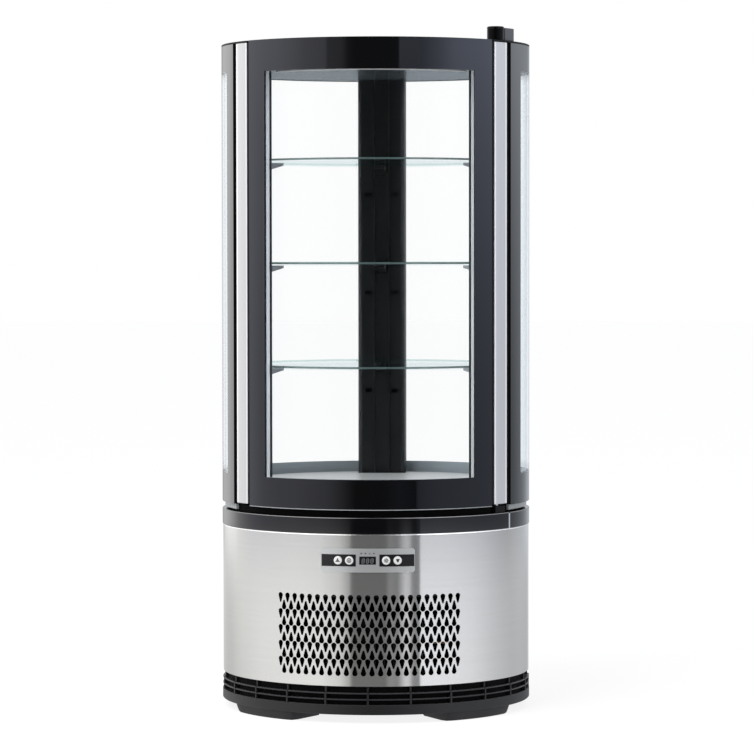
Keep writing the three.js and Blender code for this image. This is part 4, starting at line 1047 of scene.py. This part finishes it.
# What shiny faces see round the cabinet: (azimuth, brightness) of soft boxes and dark flags, for faces that
# look a little above the camera's level, a little below it, and well above or below it
SURROUND_HIGH = (
    (-180, 0.6), (-163, 0.6), (-154, 1.15), (-147, 1.4), (-137, 1.85), (-128, 1.8), (-115, 1.25),
    (-105, 0.98), (-90, 1.0), (-75, 0.99), (-62, 0.86), (-50, 0.67), (-34, 0.55), (-33, 0.3), (-22, 0.25),
    (-17, 0.08), (-12, 0.045), (16, 0.045), (20, 0.06), (21, 0.37), (38, 0.38), (52, 0.66), (64, 0.97),
    (75, 1.02), (95, 1.0), (108, 1.08), (129, 1.25), (146, 0.85), (160, 0.55), (180, 0.6))
SURROUND_LOW = (
    (-180, 0.6), (-163, 0.6), (-154, 1.05), (-140, 1.5), (-130, 1.5), (-121, 1.1), (-105, 0.76), (-90, 0.6),
    (-75, 0.56), (-60, 0.56), (-45, 0.48), (-34, 0.41), (-25, 0.26), (-17, 0.11), (-12, 0.04), (8, 0.04),
    (20, 0.08), (33, 0.05), (34, 0.22), (42, 0.28), (50, 0.31), (70, 0.33), (95, 0.34), (107, 0.31),
    (118, 0.31), (130, 0.5), (146, 0.64), (160, 0.82), (180, 0.6))
SURROUND_WIDE = (
    (-180, 0.82), (-150, 0.8), (-136, 0.86), (-118, 1.2), (-92, 1.55), (-67, 1.68), (-54, 1.72),
    (-38, 1.72), (-36, 1.62), (-25, 1.42), (-22, 1.2), (-18, 0.8), (-15.6, 0.6), (-15.4, 0.02), (10, 0.02),
    (13, 0.34), (19, 0.2), (21, 0.6), (25, 1.4), (28, 1.2), (30, 0.35), (35.4, 0.2), (36.2, 1.95),
    (61, 1.8), (80, 1.57), (100, 1.17), (112, 0.99), (126, 0.84), (140, 0.8), (162, 0.6), (180, 0.82))
SURROUND_PEAK = 2
# Heights of a direction of length one: where the level band goes from its low to its high look, where it
# fades to the rest below and above, and where the sky brightens
LEVEL_BAND = (-0.075, 0.06)
FADE_BELOW, FADE_ABOVE = (-0.09, -0.078), (0.075, 0.1)
SKY_RISE, SKY_GAIN = (0.12, 0.4), 1.35
# The pale floor that the lowest directions meet: the heights where it fades in, its share and its tone
FLOOR_FADE = (-0.124, -0.088)
FLOOR_SHARE, FLOOR_TONE = 0.37, (0.245, 0.245, 0.245)
# Tints of the level band, in front of the cabinet and behind it, and of the rest, at the left and the right
COOL_TINTS = ((0.98, 1, 1.14), (0.91, 1, 1.28))
CALM_TINTS = ((1, 1, 1.01), (0.93, 1, 1.09))
WIDE_TINTS = ((1, 1, 1), (0.985, 1, 1.06))
# The even light on everything that isn't shiny
SOFT_COLOR, SOFT_LIGHT = (0.97, 0.985, 1), 0.62
WHITE = (1, 1, 1)


def make_world():
    """White behind the object, even soft light on it, and soft boxes for its shiny faces to mirror."""
    world = bpy.data.worlds.new("studio")
    scene.world = world
    world.cycles.sampling_method = "NONE"
    g = Graph("studio", world)

    way = g.node("SeparateXYZ", {0: g.node("TexCoord").outputs["Generated"]}).outputs
    turn = g.math("ARCTAN2", way["X"], g.math("MULTIPLY", way["Y"], -1.0))
    along = g.math("ADD", g.math("DIVIDE", turn, 2 * math.pi), 0.5)
    to_right = g.remap(way["X"], 0.0, 1.0, -0.35, 0.35)
    up = way["Z"]

    def surround(table):
        ramp = g.node("ValToRGB", {0: along})
        stops = ramp.color_ramp.elements
        for deg, value in table:
            stop = {-180: stops[0], 180: stops[-1]}.get(deg) or stops.new(deg / 360 + 0.5)
            level = value / SURROUND_PEAK
            stop.color = (level, level, level, 1)
        return ramp.outputs["Color"]

    rise = g.remap(up, 0.0, 1.0, *LEVEL_BAND)
    band = g.blend(g.math("MULTIPLY", rise, rise), surround(SURROUND_LOW), surround(SURROUND_HIGH))
    to_rear = g.remap(way["Y"], 0.0, 1.0, 0.2, 0.5)
    tint = g.blend(to_rear, g.blend(to_right, *COOL_TINTS), g.blend(to_right, *CALM_TINTS))
    band = g.blend(1.0, band, tint, "MULTIPLY")
    gain = g.remap(up, 1.0, SKY_GAIN, *SKY_RISE)
    wide = g.blend(1.0, surround(SURROUND_WIDE), g.blend(to_right, *WIDE_TINTS), "MULTIPLY")
    wide = g.blend(g.remap(up, FLOOR_SHARE, 0.0, *FLOOR_FADE), wide, FLOOR_TONE)
    below = g.remap(up, 1.0, 0.0, *FADE_BELOW)
    above = g.remap(up, 0.0, 1.0, *FADE_ABOVE)
    colors = g.blend(g.math("MAXIMUM", below, above), band, wide)
    mirrored = g.shader("Background", Color=colors, Strength=g.math("MULTIPLY", gain, SURROUND_PEAK))
    soft = g.shader("Background", Color=SOFT_COLOR, Strength=SOFT_LIGHT)
    white = g.shader("Background", Color=WHITE, Strength=1.0)
    path = g.node("LightPath").outputs
    seen = g.math("MAXIMUM", path["Is Camera Ray"], path["Is Transmission Ray"])
    g.node("OutputWorld", {"Surface": g.mix(seen, g.mix(path["Is Glossy Ray"], soft, mirrored), white)})


def make_floor():
    """A large pale floor: near white to the camera, and darker in the object's shadow."""
    width, glow_strength, glow_share = 60, 1.16, 0.74
    g = Graph("studio_floor")
    shade = g.blend(g.noise(g.place(), 1.5, 2.0), (0.80, 0.80, 0.80), (0.84, 0.84, 0.84))
    matte = g.shader("BsdfDiffuse", Color=shade, Roughness=0.3)
    glow = g.shader("Emission", Color=WHITE, Strength=glow_strength)
    to_camera = g.math("MULTIPLY", g.node("LightPath").outputs["Is Camera Ray"], glow_share)
    bpy.ops.mesh.primitive_plane_add(size=width)
    floor = bpy.context.object
    floor.name = "studio_floor"
    floor.data.materials.append(g.finish(g.mix(to_camera, matte, glow)))
    floor.visible_glossy = False


def make_lamp():
    """One large soft lamp, high at the front left, that shiny faces don't mirror."""
    spot, target = Vector((-1.6, -2.2, 3.0)), Vector((0, 0, 0.5))
    lamp = bpy.data.lights.new("key", "AREA")
    lamp.shape = "RECTANGLE"
    lamp.size, lamp.size_y = 2.6, 1.8
    lamp.energy = 70
    obj = add_object("key", lamp)
    obj.location = spot
    obj.rotation_mode = "QUATERNION"
    obj.rotation_quaternion = (target - spot).to_track_quat("-Z", "Y")
    obj.visible_glossy = False


def make_camera():
    data = bpy.data.cameras.new("camera")
    data.lens = CAMERA_LENS
    data.sensor_width = SENSOR_WIDTH
    data.clip_end = 200
    stand = Matrix.Translation((*polar(CAMERA_AZIMUTH, CAMERA_DISTANCE), CAMERA_HEIGHT))
    for deg, axis in ((CAMERA_AZIMUTH - CAMERA_YAW, "Z"), (90 - CAMERA_TILT, "X"), (CAMERA_ROLL, "Z")):
        stand = stand @ Matrix.Rotation(math.radians(deg), 4, axis)
    obj = add_object("camera", data)
    obj.matrix_world = stand
    scene.camera = obj


def set_render():
    scene.view_settings.view_transform = "Standard"
    cycles = scene.cycles
    cycles.max_bounces = 12
    cycles.glossy_bounces = 6
    cycles.diffuse_bounces = 4
    cycles.transmission_bounces = 8
    cycles.transparent_max_bounces = 64
    cycles.sample_clamp_indirect = 6
    cycles.caustics_reflective = False
    cycles.caustics_refractive = False


for step in (make_feet, make_skirt, make_casing, make_ring, make_gland, make_door_panes, make_side_panes,
             make_shelves, make_floor_panel, make_top, make_door_frame, make_door_trims, make_hinge_cap,
             make_fascia, make_buttons, make_display, dress_kept_nodes, make_world, make_floor, make_lamp,
             make_camera, set_render):
    step()
